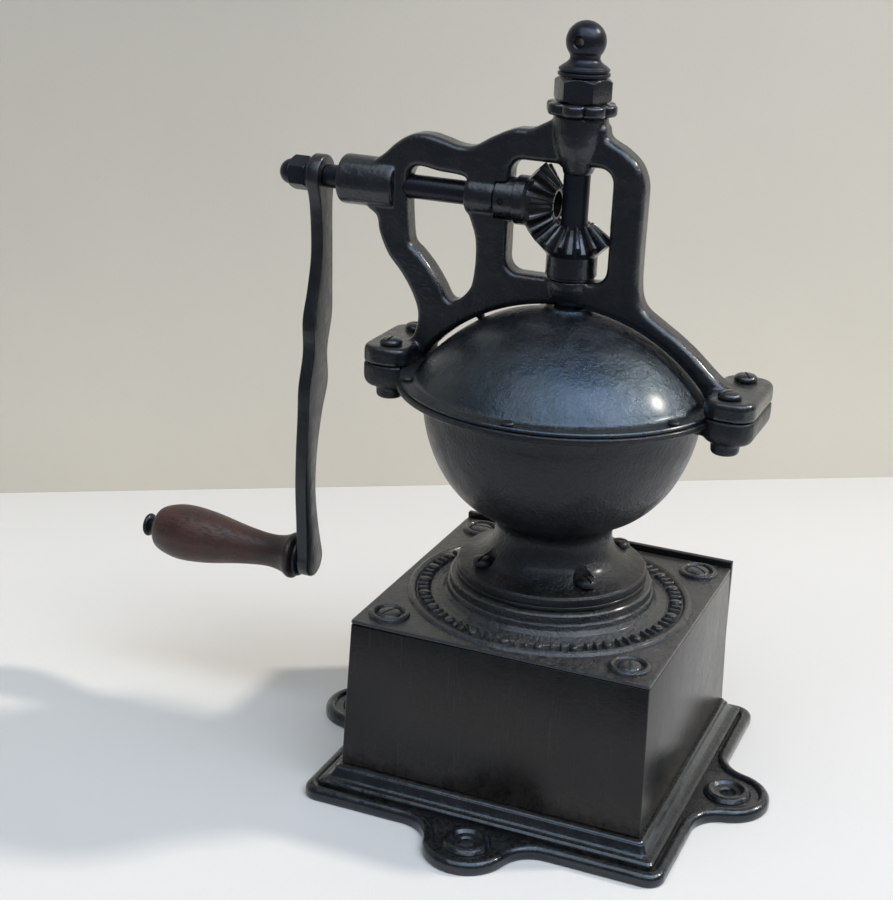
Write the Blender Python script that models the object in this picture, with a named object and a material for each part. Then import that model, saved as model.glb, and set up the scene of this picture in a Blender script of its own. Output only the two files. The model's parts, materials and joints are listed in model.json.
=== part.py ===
"""Hand crank coffee grinder with a cast box, hopper bowl, domed lid and geared yoke.

The spindle runs along Z at the origin, the crank shaft runs along +X, the drawer opens towards -Y,
and the box stands on the ground at Z = 0. Lengths below are in millimetres times MM.
"""
import math

import bmesh
import bpy
from mathutils import Matrix, Vector

MM = 0.001
GAP = 0.3 * MM

# Box: base plate, sheet walls, top plate, drawer
BASE_HALF = 98.5 * MM
BASE_CORNER_R = 9 * MM
EAR_CENTRE = 107 * MM
EAR_R = 22.5 * MM
EAR_FILLET_R = 18 * MM
EAR_HOLE_R = 4 * MM
BASE_TOP_Z = 16 * MM
POCKET_HALF = 76 * MM
POCKET_Z = 4 * MM
POST_HOLE_Z = 8 * MM
WALL_BOTTOM_HALF = 82.2 * MM
WALL_TOP_HALF = 79.8 * MM
WALL_T = 2.5 * MM
BOX_TOP_Z = 99 * MM
TOP_HALF = 80 * MM
TOP_EDGE_T = 2 * MM
TOP_T = 5 * MM
CORNER_SCREW_XY = 65 * MM
DRAWER_FRONT_T = 3.5 * MM
DRAWER_LIP_Z = 102 * MM
TRAY_HALF_X = 58 * MM
TRAY_BACK_Y = 68 * MM
TRAY_BOTTOM_Z = 18 * MM
TRAY_TOP_Z = 78 * MM
TRAY_T = 1.5 * MM
KNOB_Z = 58 * MM

# Pedestal, grinding burrs and hopper bowl
CHUTE_R = 26 * MM
PEDESTAL_R = 54 * MM
PEDESTAL_TOP_Z = 111 * MM
BURR_SEAT_Z = 107.7 * MM
BURR_R = 29.7 * MM
BURR_TOP_Z = 126 * MM
FOOT_SCREW_R = 40.5 * MM
RIM_TOP_Z = 217 * MM
LUG_X = 90.5 * MM
LUG_Y = 16.2 * MM
LUG_HALF_X = 13 * MM
LUG_HALF_Y = 27 * MM
LUG_SPLIT_Z = 219.35 * MM

# Domed lid and rotary shutter
DOME_R = 95 * MM
DOME_CENTRE_Z = 162.5 * MM
LID_T = 2.5 * MM
SHUTTER_R = 90.9 * MM
LID_FLANGE_R = 84.5 * MM
LID_FLANGE_T = 1.8 * MM
LID_SCREW_R = 81 * MM
WINDOW_START_DEG = 190
WINDOW_END_DEG = 350

# Yoke
YOKE_HALF_T = 7.25 * MM
YOKE_ROUND = 3.5 * MM
ARCH_R = 97 * MM
YOKE_LUG_TOP_Z = 229 * MM
CROSSBAR_TOP_Z = 273 * MM
HEAD_TOP_Z = 355 * MM
HEAD_R = 13.7 * MM

# Shafts and gears
SHAFT_Z = 309.65 * MM
SHAFT_R = 6.2 * MM
SHAFT_BORE_R = 6.55 * MM
OUTER_BOSS_X = (95.6 * MM, 127 * MM)
OUTER_BOSS_R = 13 * MM
INNER_BOSS_X = (40.7 * MM, 56.6 * MM)
INNER_BOSS_R = 10.5 * MM
BUSH_R = 8.5 * MM
SPINDLE_R = 6.7 * MM
SPINDLE_BORE_R = 7.05 * MM
SPINDLE_TOP_Z = 343 * MM
GEAR_MODULE = 2.65 * MM
DRIVE_TEETH = 14
SPINDLE_TEETH = 14
GEAR_FACE_SHARE = 0.4
PRESSURE_ANGLE = math.radians(20)
BACKLASH = 0.2 * MM
KEY_TURN_DEG = 7

# Crank
ARM_X = (137.8 * MM, 145 * MM)
ARM_HEAD_R = 11 * MM
ARM_EYE_R = 9.8 * MM
GRIP_Y = 6 * MM
GRIP_Z = 92.5 * MM
GRIP_END_X = 240 * MM

# Spindle adjuster on the head
THRUST_BALL_R = 3.3 * MM
SCREW_R = 6 * MM
NUT_FLATS = 25 * MM
LOBE_COUNT = 8

ROUND_FINE = 32
ROUND = 20
ROUND_SMALL = 12
DRILL_TURN_DEG = 5.3

MATERIALS = {
    "black_iron": ((0.012, 0.013, 0.016), 0.38, 0.55),
    "black_steel": ((0.02, 0.021, 0.024), 0.33, 0.7),
    "sheet_steel": ((0.05, 0.05, 0.05), 0.45, 0.8),
    "bare_steel": ((0.35, 0.35, 0.36), 0.35, 1.0),
    "wood": ((0.08, 0.028, 0.018), 0.5, 0.0),
}


# ---------------------------------------------------------------- mesh helpers

def clear_scene():
    for item in list(bpy.data.objects):
        bpy.data.objects.remove(item, do_unlink=True)


def make_material(name):
    colour, roughness, metallic = MATERIALS[name]
    made = bpy.data.materials.get(name)
    if made is None:
        made = bpy.data.materials.new(name)
        made.use_nodes = True
        shader = made.node_tree.nodes["Principled BSDF"]
        shader.inputs["Base Color"].default_value = (*colour, 1)
        shader.inputs["Roughness"].default_value = roughness
        shader.inputs["Metallic"].default_value = metallic
    return made


def to_object(bm, name, slot):
    """Make an object from a bmesh, faces pointing out, shaded smooth between sharp edges."""
    bmesh.ops.remove_doubles(bm, verts=bm.verts, dist=1e-7)
    bmesh.ops.recalc_face_normals(bm, faces=bm.faces)
    mesh = bpy.data.meshes.new(name)
    bm.to_mesh(mesh)
    bm.free()
    made = bpy.data.objects.new(name, mesh)
    bpy.context.scene.collection.objects.link(made)
    made.data.materials.append(make_material(slot))
    mesh.shade_smooth()
    mesh.set_sharp_from_angle(angle=math.radians(32))
    return made


def closed(bm):
    return all(len(edge.link_faces) == 2 for edge in bm.edges)


def tidy(mesh, flatten=False):
    """Weld what one Boolean leaves a hair apart, and at the end drop needless edges on flat faces."""
    bm = bmesh.new()
    bm.from_mesh(mesh)
    bmesh.ops.remove_doubles(bm, verts=bm.verts, dist=2e-6)
    bmesh.ops.dissolve_degenerate(bm, edges=bm.edges, dist=2e-6)
    if flatten:
        bmesh.ops.dissolve_limit(bm, angle_limit=math.radians(0.2), verts=bm.verts, edges=bm.edges)
    bmesh.ops.triangulate(bm, faces=bm.faces)
    if flatten:
        bmesh.ops.dissolve_degenerate(bm, edges=bm.edges, dist=2e-6)
    if closed(bm) or not flatten:
        bm.to_mesh(mesh)
    bm.free()


def combine(target, tools, operation):
    """Apply one Boolean after another to the target and drop the tools."""
    for tool in tools:
        step = target.modifiers.new("step", "BOOLEAN")
        step.operation = operation
        step.solver = "EXACT"
        step.object = tool
        bpy.context.view_layer.update()
        graph = bpy.context.evaluated_depsgraph_get()
        mesh = bpy.data.meshes.new_from_object(target.evaluated_get(graph))
        target.modifiers.remove(step)
        target.data = mesh
        tidy(mesh)
        bpy.data.objects.remove(tool, do_unlink=True)
    mesh = target.data
    tidy(mesh, flatten=True)
    mesh.materials.clear()
    mesh.materials.append(make_material(target["slot"]))
    mesh.shade_smooth()
    mesh.set_sharp_from_angle(angle=math.radians(32))
    return target


def add(bm, name, slot):
    made = to_object(bm, name, slot)
    made["slot"] = slot
    return made


def tool(bm):
    return to_object(bm, "tool", "bare_steel")


def bridge(bm, ring, following):
    """Join two rings of vertices; a ring of one vertex makes a fan."""
    count = max(len(ring), len(following))
    if count == 1:
        return
    for i in range(count):
        j = (i + 1) % count
        corners = [ring[i % len(ring)], ring[j % len(ring)]]
        corners += [following[j % len(following)], following[i % len(following)]]
        unique = []
        for corner in corners:
            if corner not in unique:
                unique.append(corner)
        bm.faces.new(unique)


def turned(profile, segments, closed=False):
    """Turn (radius, height) points about Z. A closed profile makes a ring."""
    bm = bmesh.new()
    rings = []
    for radius, height in profile:
        if radius < 1e-9:
            rings.append([bm.verts.new((0, 0, height))])
            continue
        turns = [2 * math.pi * i / segments for i in range(segments)]
        rings.append([bm.verts.new((radius * math.cos(t), radius * math.sin(t), height)) for t in turns])
    for ring, following in zip(rings, rings[1:]):
        bridge(bm, ring, following)
    if closed:
        bridge(bm, rings[-1], rings[0])
    return bm


def sector(profile, start_deg, end_deg, segments):
    """Turn a closed (radius, height) profile through part of a circle and cap both ends."""
    bm = bmesh.new()
    rows = []
    for i in range(segments + 1):
        turn = math.radians(start_deg + (end_deg - start_deg) * i / segments)
        rows.append([bm.verts.new((r * math.cos(turn), r * math.sin(turn), z)) for r, z in profile])
    for row, following in zip(rows, rows[1:]):
        bridge(bm, row, following)
    bm.faces.new(rows[0])
    bm.faces.new(rows[-1])
    return bm


def tube(outer, inner, low, high, segments):
    return turned([(inner, low), (outer, low), (outer, high), (inner, high)], segments, closed=True)


def rod(radius, low, high, segments):
    return turned([(0, low), (radius, low), (radius, high), (0, high)], segments)


def drill(radius, low, high, segments):
    """A rod turned a little about its axis, so that its facets never line up with a wall's."""
    return spun(rod(radius, low, high, segments), DRILL_TURN_DEG)


def box(low, high):
    bm = bmesh.new()
    bmesh.ops.create_cube(bm, size=1)
    size = Vector(high) - Vector(low)
    bmesh.ops.scale(bm, vec=size, verts=bm.verts)
    bmesh.ops.translate(bm, vec=(Vector(high) + Vector(low)) / 2, verts=bm.verts)
    return bm


def loft(loops, cap_ends=True):
    """Skin equal loops of points in order."""
    bm = bmesh.new()
    rings = [[bm.verts.new(point) for point in loop] for loop in loops]
    for ring, following in zip(rings, rings[1:]):
        bridge(bm, ring, following)
    if cap_ends:
        bm.faces.new(rings[0])
        bm.faces.new(rings[-1])
    return bm


def moved(bm, x=0.0, y=0.0, z=0.0):
    bmesh.ops.translate(bm, vec=(x, y, z), verts=bm.verts)
    return bm


def turned_to_x(bm, x=0.0, y=0.0, z=0.0):
    """Lay a piece made about Z along +X, then move it."""
    bmesh.ops.rotate(bm, matrix=Matrix.Rotation(math.radians(90), 3, "Y"), verts=bm.verts)
    return moved(bm, x, y, z)


def turned_to_y(bm, x=0.0, y=0.0, z=0.0):
    """Lay a piece made about Z along -Y, then move it."""
    bmesh.ops.rotate(bm, matrix=Matrix.Rotation(math.radians(90), 3, "X"), verts=bm.verts)
    return moved(bm, x, y, z)


def spun(bm, degrees):
    bmesh.ops.rotate(bm, matrix=Matrix.Rotation(math.radians(degrees), 3, "Z"), verts=bm.verts)
    return bm


def arc(centre_x, centre_y, radius, start_deg, end_deg, steps):
    turns = [math.radians(start_deg + (end_deg - start_deg) * i / steps) for i in range(steps + 1)]
    return [(centre_x + radius * math.cos(t), centre_y + radius * math.sin(t)) for t in turns]


def rounded_rectangle(half_x, half_y, corner_r, steps=4, centre=(0.0, 0.0)):
    points = []
    for quarter, (sx, sy) in enumerate(((1, 1), (-1, 1), (-1, -1), (1, -1))):
        cx = centre[0] + sx * (half_x - corner_r)
        cy = centre[1] + sy * (half_y - corner_r)
        points += arc(cx, cy, corner_r, 90 * quarter, 90 * quarter + 90, steps)
    return points


def at_height(points, height):
    return [(x, y, height) for x, y in points]


def empty_at(name, place):
    made = bpy.data.objects.new(name, None)
    made.location = place
    made.empty_display_size = 0.02
    bpy.context.scene.collection.objects.link(made)
    bpy.context.view_layer.update()
    return made


def hang(parent, *pieces):
    """Parent pieces to an empty on their joint's axis, leaving them where they are."""
    for piece in pieces:
        piece.parent = parent
        piece.matrix_parent_inverse = parent.matrix_world.inverted()


def domed_screw(head_r, head_h, shank_r, length, segments=ROUND_SMALL):
    """A screw with its head's underside at Z = 0 and its shank hanging down."""
    profile = [(0, -length), (shank_r, -length), (shank_r, 0), (head_r, 0), (head_r, head_h * 0.35)]
    profile += [(head_r * 0.82, head_h * 0.75), (head_r * 0.45, head_h), (0, head_h)]
    return turned(profile, segments)


def slotted(screw, head_r, slot_z, top_z, x, y, turn_deg=0.0, slot_w=1.2 * MM):
    """Cut a screwdriver slot across a head."""
    blade = box((-head_r * 1.2, -slot_w / 2, slot_z), (head_r * 1.2, slot_w / 2, top_z + MM))
    return combine(screw, [tool(moved(spun(blade, turn_deg), x, y))], "DIFFERENCE")


# ---------------------------------------------------------------- box

def base_outline(inset):
    """The base's outline with one rounded ear on each side, moved in by the inset."""
    half = BASE_HALF - inset
    corner_r = BASE_CORNER_R - inset * 0.6
    ear_r = EAR_R - inset
    fillet_r = EAR_FILLET_R + inset
    fillet_x = math.sqrt((ear_r + fillet_r) ** 2 - (half + fillet_r - EAR_CENTRE) ** 2)
    lean = math.degrees(math.atan2(half + fillet_r - EAR_CENTRE, fillet_x))
    points = []
    for side in range(4):
        run = arc(half - corner_r, half - corner_r, corner_r, 0, 90, 3)
        run += arc(fillet_x, half + fillet_r, fillet_r, 270, 180 + lean, 3)
        run += arc(0, EAR_CENTRE, ear_r, lean, 180 - lean, 8)[1:-1]
        run += arc(-fillet_x, half + fillet_r, fillet_r, -lean, -90, 3)
        turn = math.radians(90 * side)
        points += [(x * math.cos(turn) - y * math.sin(turn), x * math.sin(turn) + y * math.cos(turn))
                   for x, y in run]
    return points


def make_base_plate():
    bead = [(0, 0), (0, 4.2), (1.4, 6.6), (4.4, 7.2), (6.4, 5.4)]
    loops = [at_height(base_outline(inset * MM), z * MM) for inset, z in bead]
    plate = add(loft(loops), "base_plate", "black_iron")
    steps = [(91.5, 4), (91.5, 8.4), (90, 9.2), (87.3, 10.2), (85.2, 12.4), (84.2, 14.9), (83.6, 16)]
    mould = loft([at_height(rounded_rectangle(s * MM, s * MM, 3 * MM, 2), z * MM) for s, z in steps])
    boss_profile = [(0, 4), (12.5, 4), (12.5, 5.6), (10.2, 7.5), (8.6, 7.7), (5.8, 6.2), (0, 6.2)]
    bosses = []
    holes = []
    for side in range(4):
        turn = math.radians(90 * side)
        x = EAR_CENTRE * math.cos(turn)
        y = EAR_CENTRE * math.sin(turn)
        bosses.append(tool(moved(turned([(r * MM, z * MM) for r, z in boss_profile], 16), x, y)))
        holes.append(tool(moved(drill(EAR_HOLE_R, -MM, 9 * MM, ROUND_SMALL), x, y)))
    combine(plate, [tool(mould)] + bosses, "UNION")
    pocket = tool(loft([at_height(rounded_rectangle(POCKET_HALF, POCKET_HALF, 6 * MM, 2), z)
                        for z in (POCKET_Z, BASE_TOP_Z + MM)]))
    combine(plate, [pocket] + holes, "DIFFERENCE")
    posts = [tool(moved(rod(6 * MM, POCKET_Z - MM, BASE_TOP_Z - 0.5 * MM, ROUND_SMALL), x, y))
             for x, y in corner_places()]
    combine(plate, posts, "UNION")
    sockets = [tool(moved(drill(3.3 * MM, POST_HOLE_Z, BASE_TOP_Z + MM, ROUND_SMALL), x, y))
               for x, y in corner_places()]
    return combine(plate, sockets, "DIFFERENCE")


def corner_places():
    reach = CORNER_SCREW_XY
    return [(reach, reach), (-reach, reach), (-reach, -reach), (reach, -reach)]


def make_wall_wrap():
    """Back and side walls folded from one sheet, open towards the drawer."""
    low = BASE_TOP_Z + GAP
    high = BOX_TOP_Z - TOP_EDGE_T - GAP

    def section(side_x, side_y, is_end):
        made = []
        for half, z, inset in ((WALL_BOTTOM_HALF, low, 0), (WALL_BOTTOM_HALF, low, WALL_T),
                               (WALL_TOP_HALF, high, WALL_T), (WALL_TOP_HALF, high, 0)):
            depth = half if is_end else half - inset
            made.append((side_x * (half - inset), side_y * depth, z))
        return made

    folds = [section(1, -1, True), section(1, 1, False), section(-1, 1, False), section(-1, -1, True)]
    return add(loft(folds), "wall_wrap", "sheet_steel")


def make_top_plate():
    """Square plate with an inner step, a ridge ring, corner rings and the pedestal."""
    under = BOX_TOP_Z - TOP_T
    edge = BOX_TOP_Z - TOP_EDGE_T
    step_half = WALL_TOP_HALF - WALL_T - 0.7 * MM
    plate = add(box((-TOP_HALF, -TOP_HALF, edge), (TOP_HALF, TOP_HALF, BOX_TOP_Z)), "top_plate",
                "black_iron")
    step = box((-step_half, -step_half, under), (step_half, step_half, edge + 0.5 * MM))
    pedestal = [(0, under + MM), (60, under + MM), (63.5, 99), (59, 99.8), (55.8, 101.8), (54.6, 104.6)]
    foot_z = pedestal[0][1]
    pedestal = [pedestal[0]] + [(r * MM, under + MM if z == foot_z else z * MM) for r, z in pedestal[1:]]
    pedestal += [(PEDESTAL_R, 106 * MM), (PEDESTAL_R, PEDESTAL_TOP_Z - MM),
                 (PEDESTAL_R - MM, PEDESTAL_TOP_Z), (0, PEDESTAL_TOP_Z)]
    ridge = turned([(r * MM, z * MM) for r, z in
                    ((71.5, 98), (71.5, 99.4), (73.2, 100.9), (75, 100.9), (76.8, 99.4), (76.8, 98))],
                   ROUND_FINE, closed=True)
    parts = [tool(step), tool(turned(pedestal, ROUND_FINE)), tool(ridge)]
    holes = []
    for x, y in corner_places():
        ring = [(7.6, 98), (7.6, 100.6), (9, 101.4), (10.4, 100.8), (11, 98)]
        parts.append(tool(moved(turned([(r * MM, z * MM) for r, z in ring], 16, closed=True), x, y)))
        holes.append(tool(moved(drill(3.3 * MM, under - MM, BOX_TOP_Z + MM, ROUND_SMALL), x, y)))
    combine(plate, parts, "UNION")
    holes.append(tool(drill(CHUTE_R, under - MM, BURR_SEAT_Z + MM, ROUND_FINE)))
    holes.append(tool(drill(BURR_R + GAP, BURR_SEAT_Z, PEDESTAL_TOP_Z + MM, ROUND_FINE)))
    for x, y in foot_places():
        holes.append(tool(moved(drill(3.1 * MM, 99.7 * MM, PEDESTAL_TOP_Z + MM, ROUND_SMALL), x, y)))
    for side in (-1, 1):
        holes.append(tool(moved(drill(2.6 * MM, under - MM, 102 * MM, ROUND_SMALL),
                                side * BRIDGE_SCREW_X)))
    return combine(plate, holes, "DIFFERENCE")


def make_corner_screws():
    screws = []
    for number, (x, y) in enumerate(corner_places(), 1):
        head_z = BOX_TOP_Z + GAP
        body = domed_screw(6.2 * MM, 2.4 * MM, 3 * MM, head_z - POST_HOLE_Z - MM)
        screw = add(moved(body, x, y, head_z), f"corner_screw_{number}", "black_steel")
        screws.append(slotted(screw, 6.2 * MM, head_z + 1.2 * MM, head_z + 2.4 * MM, x, y,
                              25 + 40 * number))
    return screws


def make_drawer():
    """Drawer front that follows the walls' slope, an open tray, and a turned pull."""
    low = BASE_TOP_Z + 1.5 * GAP

    def loop(inner_y, z):
        outer_y = inner_y - DRAWER_FRONT_T
        return at_height([(TOP_HALF, inner_y), (-TOP_HALF, inner_y), (-TOP_HALF, outer_y),
                          (TOP_HALF, outer_y)], z)

    lower_y = -(WALL_BOTTOM_HALF + 0.5 * MM)
    upper_y = -(TOP_HALF + 0.5 * MM)
    front = add(loft([loop(lower_y, low), loop(upper_y, DRAWER_LIP_Z)]), "drawer_front", "black_iron")
    stud_hole = turned_to_y(drill(2.3 * MM, -7 * MM, 7 * MM, ROUND_SMALL), 0, -84 * MM, KNOB_Z)
    combine(front, [tool(stud_hole)], "DIFFERENCE")
    tray_front_y = -79.5 * MM
    tray = add(box((-TRAY_HALF_X, tray_front_y, TRAY_BOTTOM_Z), (TRAY_HALF_X, TRAY_BACK_Y, TRAY_TOP_Z)),
               "drawer_tray", "sheet_steel")
    hollow = box((-TRAY_HALF_X + TRAY_T, tray_front_y + TRAY_T, TRAY_BOTTOM_Z + TRAY_T),
                 (TRAY_HALF_X - TRAY_T, TRAY_BACK_Y - TRAY_T, TRAY_TOP_Z + MM))
    combine(tray, [tool(hollow)], "DIFFERENCE")
    knob_profile = [(0, 0), (2, 0), (2, 5.2), (5.5, 5.2), (5.5, 6.4), (3.6, 8), (3.4, 11)]
    knob_profile += [(6.2, 14), (8.2, 17.5), (7.6, 21), (4.4, 23.2), (0, 23.8)]
    knob = turned([(r * MM, z * MM) for r, z in knob_profile], 14)
    pull = add(turned_to_y(knob, 0, -80.3 * MM, KNOB_Z), "drawer_pull", "black_steel")
    return front, tray, pull


def make_drawer_runners():
    """Two strips that guide the tray's sides."""
    runners = []
    for side, name in ((-1, "drawer_runner_left"), (1, "drawer_runner_right")):
        near = TRAY_HALF_X + 0.6 * MM
        ends = sorted((side * near, side * (near + 2.5 * MM)))
        strip = box((ends[0], -56 * MM, POCKET_Z + GAP), (ends[1], 56 * MM, 30 * MM))
        runners.append(add(strip, name, "sheet_steel"))
    return runners


# ---------------------------------------------------------------- bowl and burrs

BRIDGE_SCREW_X = 36 * MM
BRIDGE_Z = (87.7 * MM, 93.7 * MM)
FOOT_SEAT_Z = 121 * MM


def foot_places():
    turns = [math.radians(45 + 90 * i) for i in range(4)]
    return [(FOOT_SCREW_R * math.cos(t), FOOT_SCREW_R * math.sin(t)) for t in turns]


def lug_outline(side, grow=0.0):
    centre = (side * (LUG_X + MM), 0)
    return rounded_rectangle(LUG_HALF_X + grow, LUG_HALF_Y + grow, 10 * MM + grow, 3, centre)


def lug_places():
    return [(sx * LUG_X, sy * LUG_Y) for sx in (1, -1) for sy in (1, -1)]


def make_hopper_bowl():
    outer = [(50.6, 111.3), (50.6, 117.8), (49.2, 119.2), (44.5, 120.3), (38.6, 122.9), (34.2, 127),
             (31.6, 132.6), (31.2, 139), (33.4, 144.2), (39.6, 148.6), (49, 154.8), (57.6, 164),
             (64.6, 175.6), (69.4, 188), (72, 201), (72.9, 210.4), (76.5, 213), (85, 213.6), (86, 215),
             (86, 217)]
    inner = [(68, 217), (68, 204), (64.6, 185), (56, 168), (43, 155), (28, 146.6), (27, 126.4),
             (30, 126.4), (30, 111.3)]
    profile = [(r * MM, z * MM) for r, z in outer + inner]
    bowl = add(turned(profile, ROUND_FINE, closed=True), "hopper_bowl", "black_iron")
    parts = []
    holes = []
    for side in (1, -1):
        slab = loft([at_height(lug_outline(side, grow * MM), z * MM)
                     for grow, z in ((-2.2, 207.4), (-0.6, 209), (0, 213), (0, LUG_SPLIT_Z / MM - 0.15))])
        parts.append(tool(slab))
        inward = sorted((side * 70 * MM, side * 84 * MM))
        parts.append(tool(box((inward[0], -18 * MM, 210 * MM),
                              (inward[1], 18 * MM, RIM_TOP_Z - 0.2 * MM))))
    for x, y in lug_places():
        boss = [(0, 200.4), (6, 200.4), (7.2, 201.6), (7.2, 209), (0, 209)]
        parts.append(tool(moved(turned([(r * MM, z * MM) for r, z in boss], 14), x, y)))
        holes.append(tool(moved(drill(3.3 * MM, 202.4 * MM, 221 * MM, ROUND_SMALL), x, y)))
    combine(bowl, parts, "UNION")
    clear_r = LID_FLANGE_R + 0.8 * MM
    holes.append(tool(drill(clear_r, RIM_TOP_Z + 0.05 * MM, 222 * MM, ROUND_FINE)))
    for x, y in foot_places():
        holes.append(tool(moved(drill(3.1 * MM, 110 * MM, FOOT_SEAT_Z + 6 * MM, ROUND_SMALL), x, y)))
        holes.append(tool(moved(drill(8 * MM, FOOT_SEAT_Z, FOOT_SEAT_Z + 12 * MM, 14), x, y)))
    for x, y in lid_screw_places():
        holes.append(tool(moved(drill(1.9 * MM, 212 * MM, 218 * MM, 12), x, y)))
    return combine(bowl, holes, "DIFFERENCE")


def make_foot_screws():
    screws = []
    for number, (x, y) in enumerate(foot_places(), 1):
        body = domed_screw(5.6 * MM, 4.2 * MM, 2.75 * MM, 20.6 * MM)
        screw = add(moved(body, x, y, FOOT_SEAT_Z + GAP), f"foot_screw_{number}", "black_steel")
        top = FOOT_SEAT_Z + GAP + 4.2 * MM
        screws.append(slotted(screw, 5.6 * MM, top - 1.6 * MM, top, x, y, 30 + 55 * number))
    return screws


def ribbed_ring(radius, height, depth, ribs, per_rib, twist, outward):
    """One loop of points whose radius ramps along each rib."""
    count = ribs * per_rib
    points = []
    for i in range(count):
        ramp = (i % per_rib) / (per_rib - 1)
        local = radius - depth * ramp if outward else radius + depth * ramp
        turn = 2 * math.pi * i / count + twist
        points.append((local * math.cos(turn), local * math.sin(turn), height))
    return points


def make_ring_burr():
    """Fixed burr: a plain outer wall and straight ribs inside its cone."""
    ribs, per_rib = 12, 3
    levels = [(BURR_SEAT_Z + GAP, 24.7 * MM), (114 * MM, 23 * MM), (BURR_TOP_Z, 19.7 * MM)]
    inner = [ribbed_ring(r, z, 1.2 * MM, ribs, per_rib, 0, False) for z, r in levels]
    count = ribs * per_rib
    turns = [2 * math.pi * i / count for i in range(count)]
    outer = [[(BURR_R * math.cos(t), BURR_R * math.sin(t), z) for t in turns]
             for z in (BURR_TOP_Z, BURR_SEAT_Z + GAP)]
    bm = loft(inner + outer + [inner[0]], cap_ends=False)
    return add(bm, "ring_burr", "bare_steel")


def make_burr_cone():
    """Turning burr: twisted ribs on a cone, bored for the spindle."""
    ribs, per_rib = 10, 3
    levels = [(106.5, 23.4, 0), (108, 23.4, 0.03), (114, 21.4, 0.15), (120, 19.3, 0.28),
              (126, 17, 0.42), (132, 14, 0.6), (136.3, 11, 0.75)]
    rings = [ribbed_ring(r * MM, z * MM, 1.5 * MM, ribs, per_rib, twist, True) for z, r, twist in levels]
    count = ribs * per_rib
    turns = [2 * math.pi * i / count for i in range(count)]
    bore = [[(5.9 * MM * math.cos(t), 5.9 * MM * math.sin(t), z * MM) for t in turns]
            for z in (136.3, 106.5)]
    return add(loft(rings + bore + [rings[0]], cap_ends=False), "burr_cone", "bare_steel")


def make_lower_bridge():
    low, high = BRIDGE_Z
    bar = add(loft([at_height(rounded_rectangle(43 * MM, 7.5 * MM, 6 * MM, 4), z) for z in (low, high)]),
              "lower_bridge", "black_iron")
    combine(bar, [tool(rod(12.4 * MM, low - 0.5 * MM, high, ROUND))], "UNION")
    holes = [tool(drill(4.35 * MM, low - MM, high + MM, ROUND))]
    for side in (-1, 1):
        holes.append(tool(moved(drill(2.6 * MM, low - MM, high + MM, ROUND_SMALL),
                                side * BRIDGE_SCREW_X)))
    return combine(bar, holes, "DIFFERENCE")


def make_bridge_screws():
    screws = []
    for number, side in enumerate((-1, 1), 1):
        body = domed_screw(4.4 * MM, 2.6 * MM, 2.3 * MM, 13.2 * MM)
        bmesh.ops.rotate(body, matrix=Matrix.Rotation(math.pi, 3, "X"), verts=body.verts)
        moved(body, side * BRIDGE_SCREW_X, 0, BRIDGE_Z[0] - GAP)
        screws.append(add(body, f"bridge_screw_{number}", "bare_steel"))
    return screws


def make_spring():
    """Compression spring between the lower bridge and the washer under the cone."""
    wire_r = 0.8 * MM
    coil_r = 10.6 * MM
    low = BRIDGE_Z[1] + GAP + wire_r
    high = 104.7 * MM - wire_r
    turns, per_turn, sides = 3.5, 10, 4
    count = int(turns * per_turn)
    loops = []
    for i in range(count + 1):
        turn = 2 * math.pi * i / per_turn
        height = low + (high - low) * i / count
        centre = Vector((coil_r * math.cos(turn), coil_r * math.sin(turn), height))
        outward = Vector((math.cos(turn), math.sin(turn), 0))
        loops.append([centre + wire_r * (math.cos(a) * outward + math.sin(a) * Vector((0, 0, 1)))
                      for a in (2 * math.pi * k / sides for k in range(sides))])
    return add(loft(loops), "lift_spring", "bare_steel")


def make_spindle():
    profile = [(0, 86), (4, 86), (4, 97), (4.7, 97), (4.7, 106.2), (5.5, 106.2), (5.5, 136.7),
               (6.7, 137.3)]
    profile = [(r * MM, z * MM) for r, z in profile]
    profile += [(SPINDLE_R, SPINDLE_TOP_Z - MM), (SPINDLE_R - MM, SPINDLE_TOP_Z), (0, SPINDLE_TOP_Z)]
    spindle = add(turned(profile, ROUND), "spindle", "black_steel")
    seat = box((-10 * MM, -2.2 * MM, 273.4 * MM), (-4.4 * MM, 2.2 * MM, 291 * MM))
    return combine(spindle, [tool(spun(seat, KEY_TURN_DEG))], "DIFFERENCE")


def make_gear_key():
    key = box((-8.3 * MM, -1.9 * MM, 275.3 * MM), (-4.7 * MM, 1.9 * MM, 289 * MM))
    return add(spun(key, KEY_TURN_DEG), "gear_key", "bare_steel")


def make_cone_fixings():
    washer = add(tube(11.9 * MM, 5.1 * MM, 105 * MM, 106.2 * MM, ROUND), "spring_washer", "bare_steel")
    nut = add(tube(9.4 * MM, 5.8 * MM, 98 * MM, 104.7 * MM, 6), "cone_nut", "bare_steel")
    return washer, nut


# ---------------------------------------------------------------- lid

def dome_arc(radius, low_z, top_r, steps):
    """Points of the dome's circle from a low height up to a small radius."""
    start = math.asin((low_z - DOME_CENTRE_Z) / radius)
    end = math.acos(top_r / radius)
    turns = [start + (end - start) * i / steps for i in range(steps + 1)]
    return [(radius * math.cos(t), DOME_CENTRE_Z + radius * math.sin(t)) for t in turns]


def lid_screw_places():
    turns = [math.radians(30 + 60 * i) for i in range(6)]
    return [(LID_SCREW_R * math.cos(t), LID_SCREW_R * math.sin(t)) for t in turns]


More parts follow.
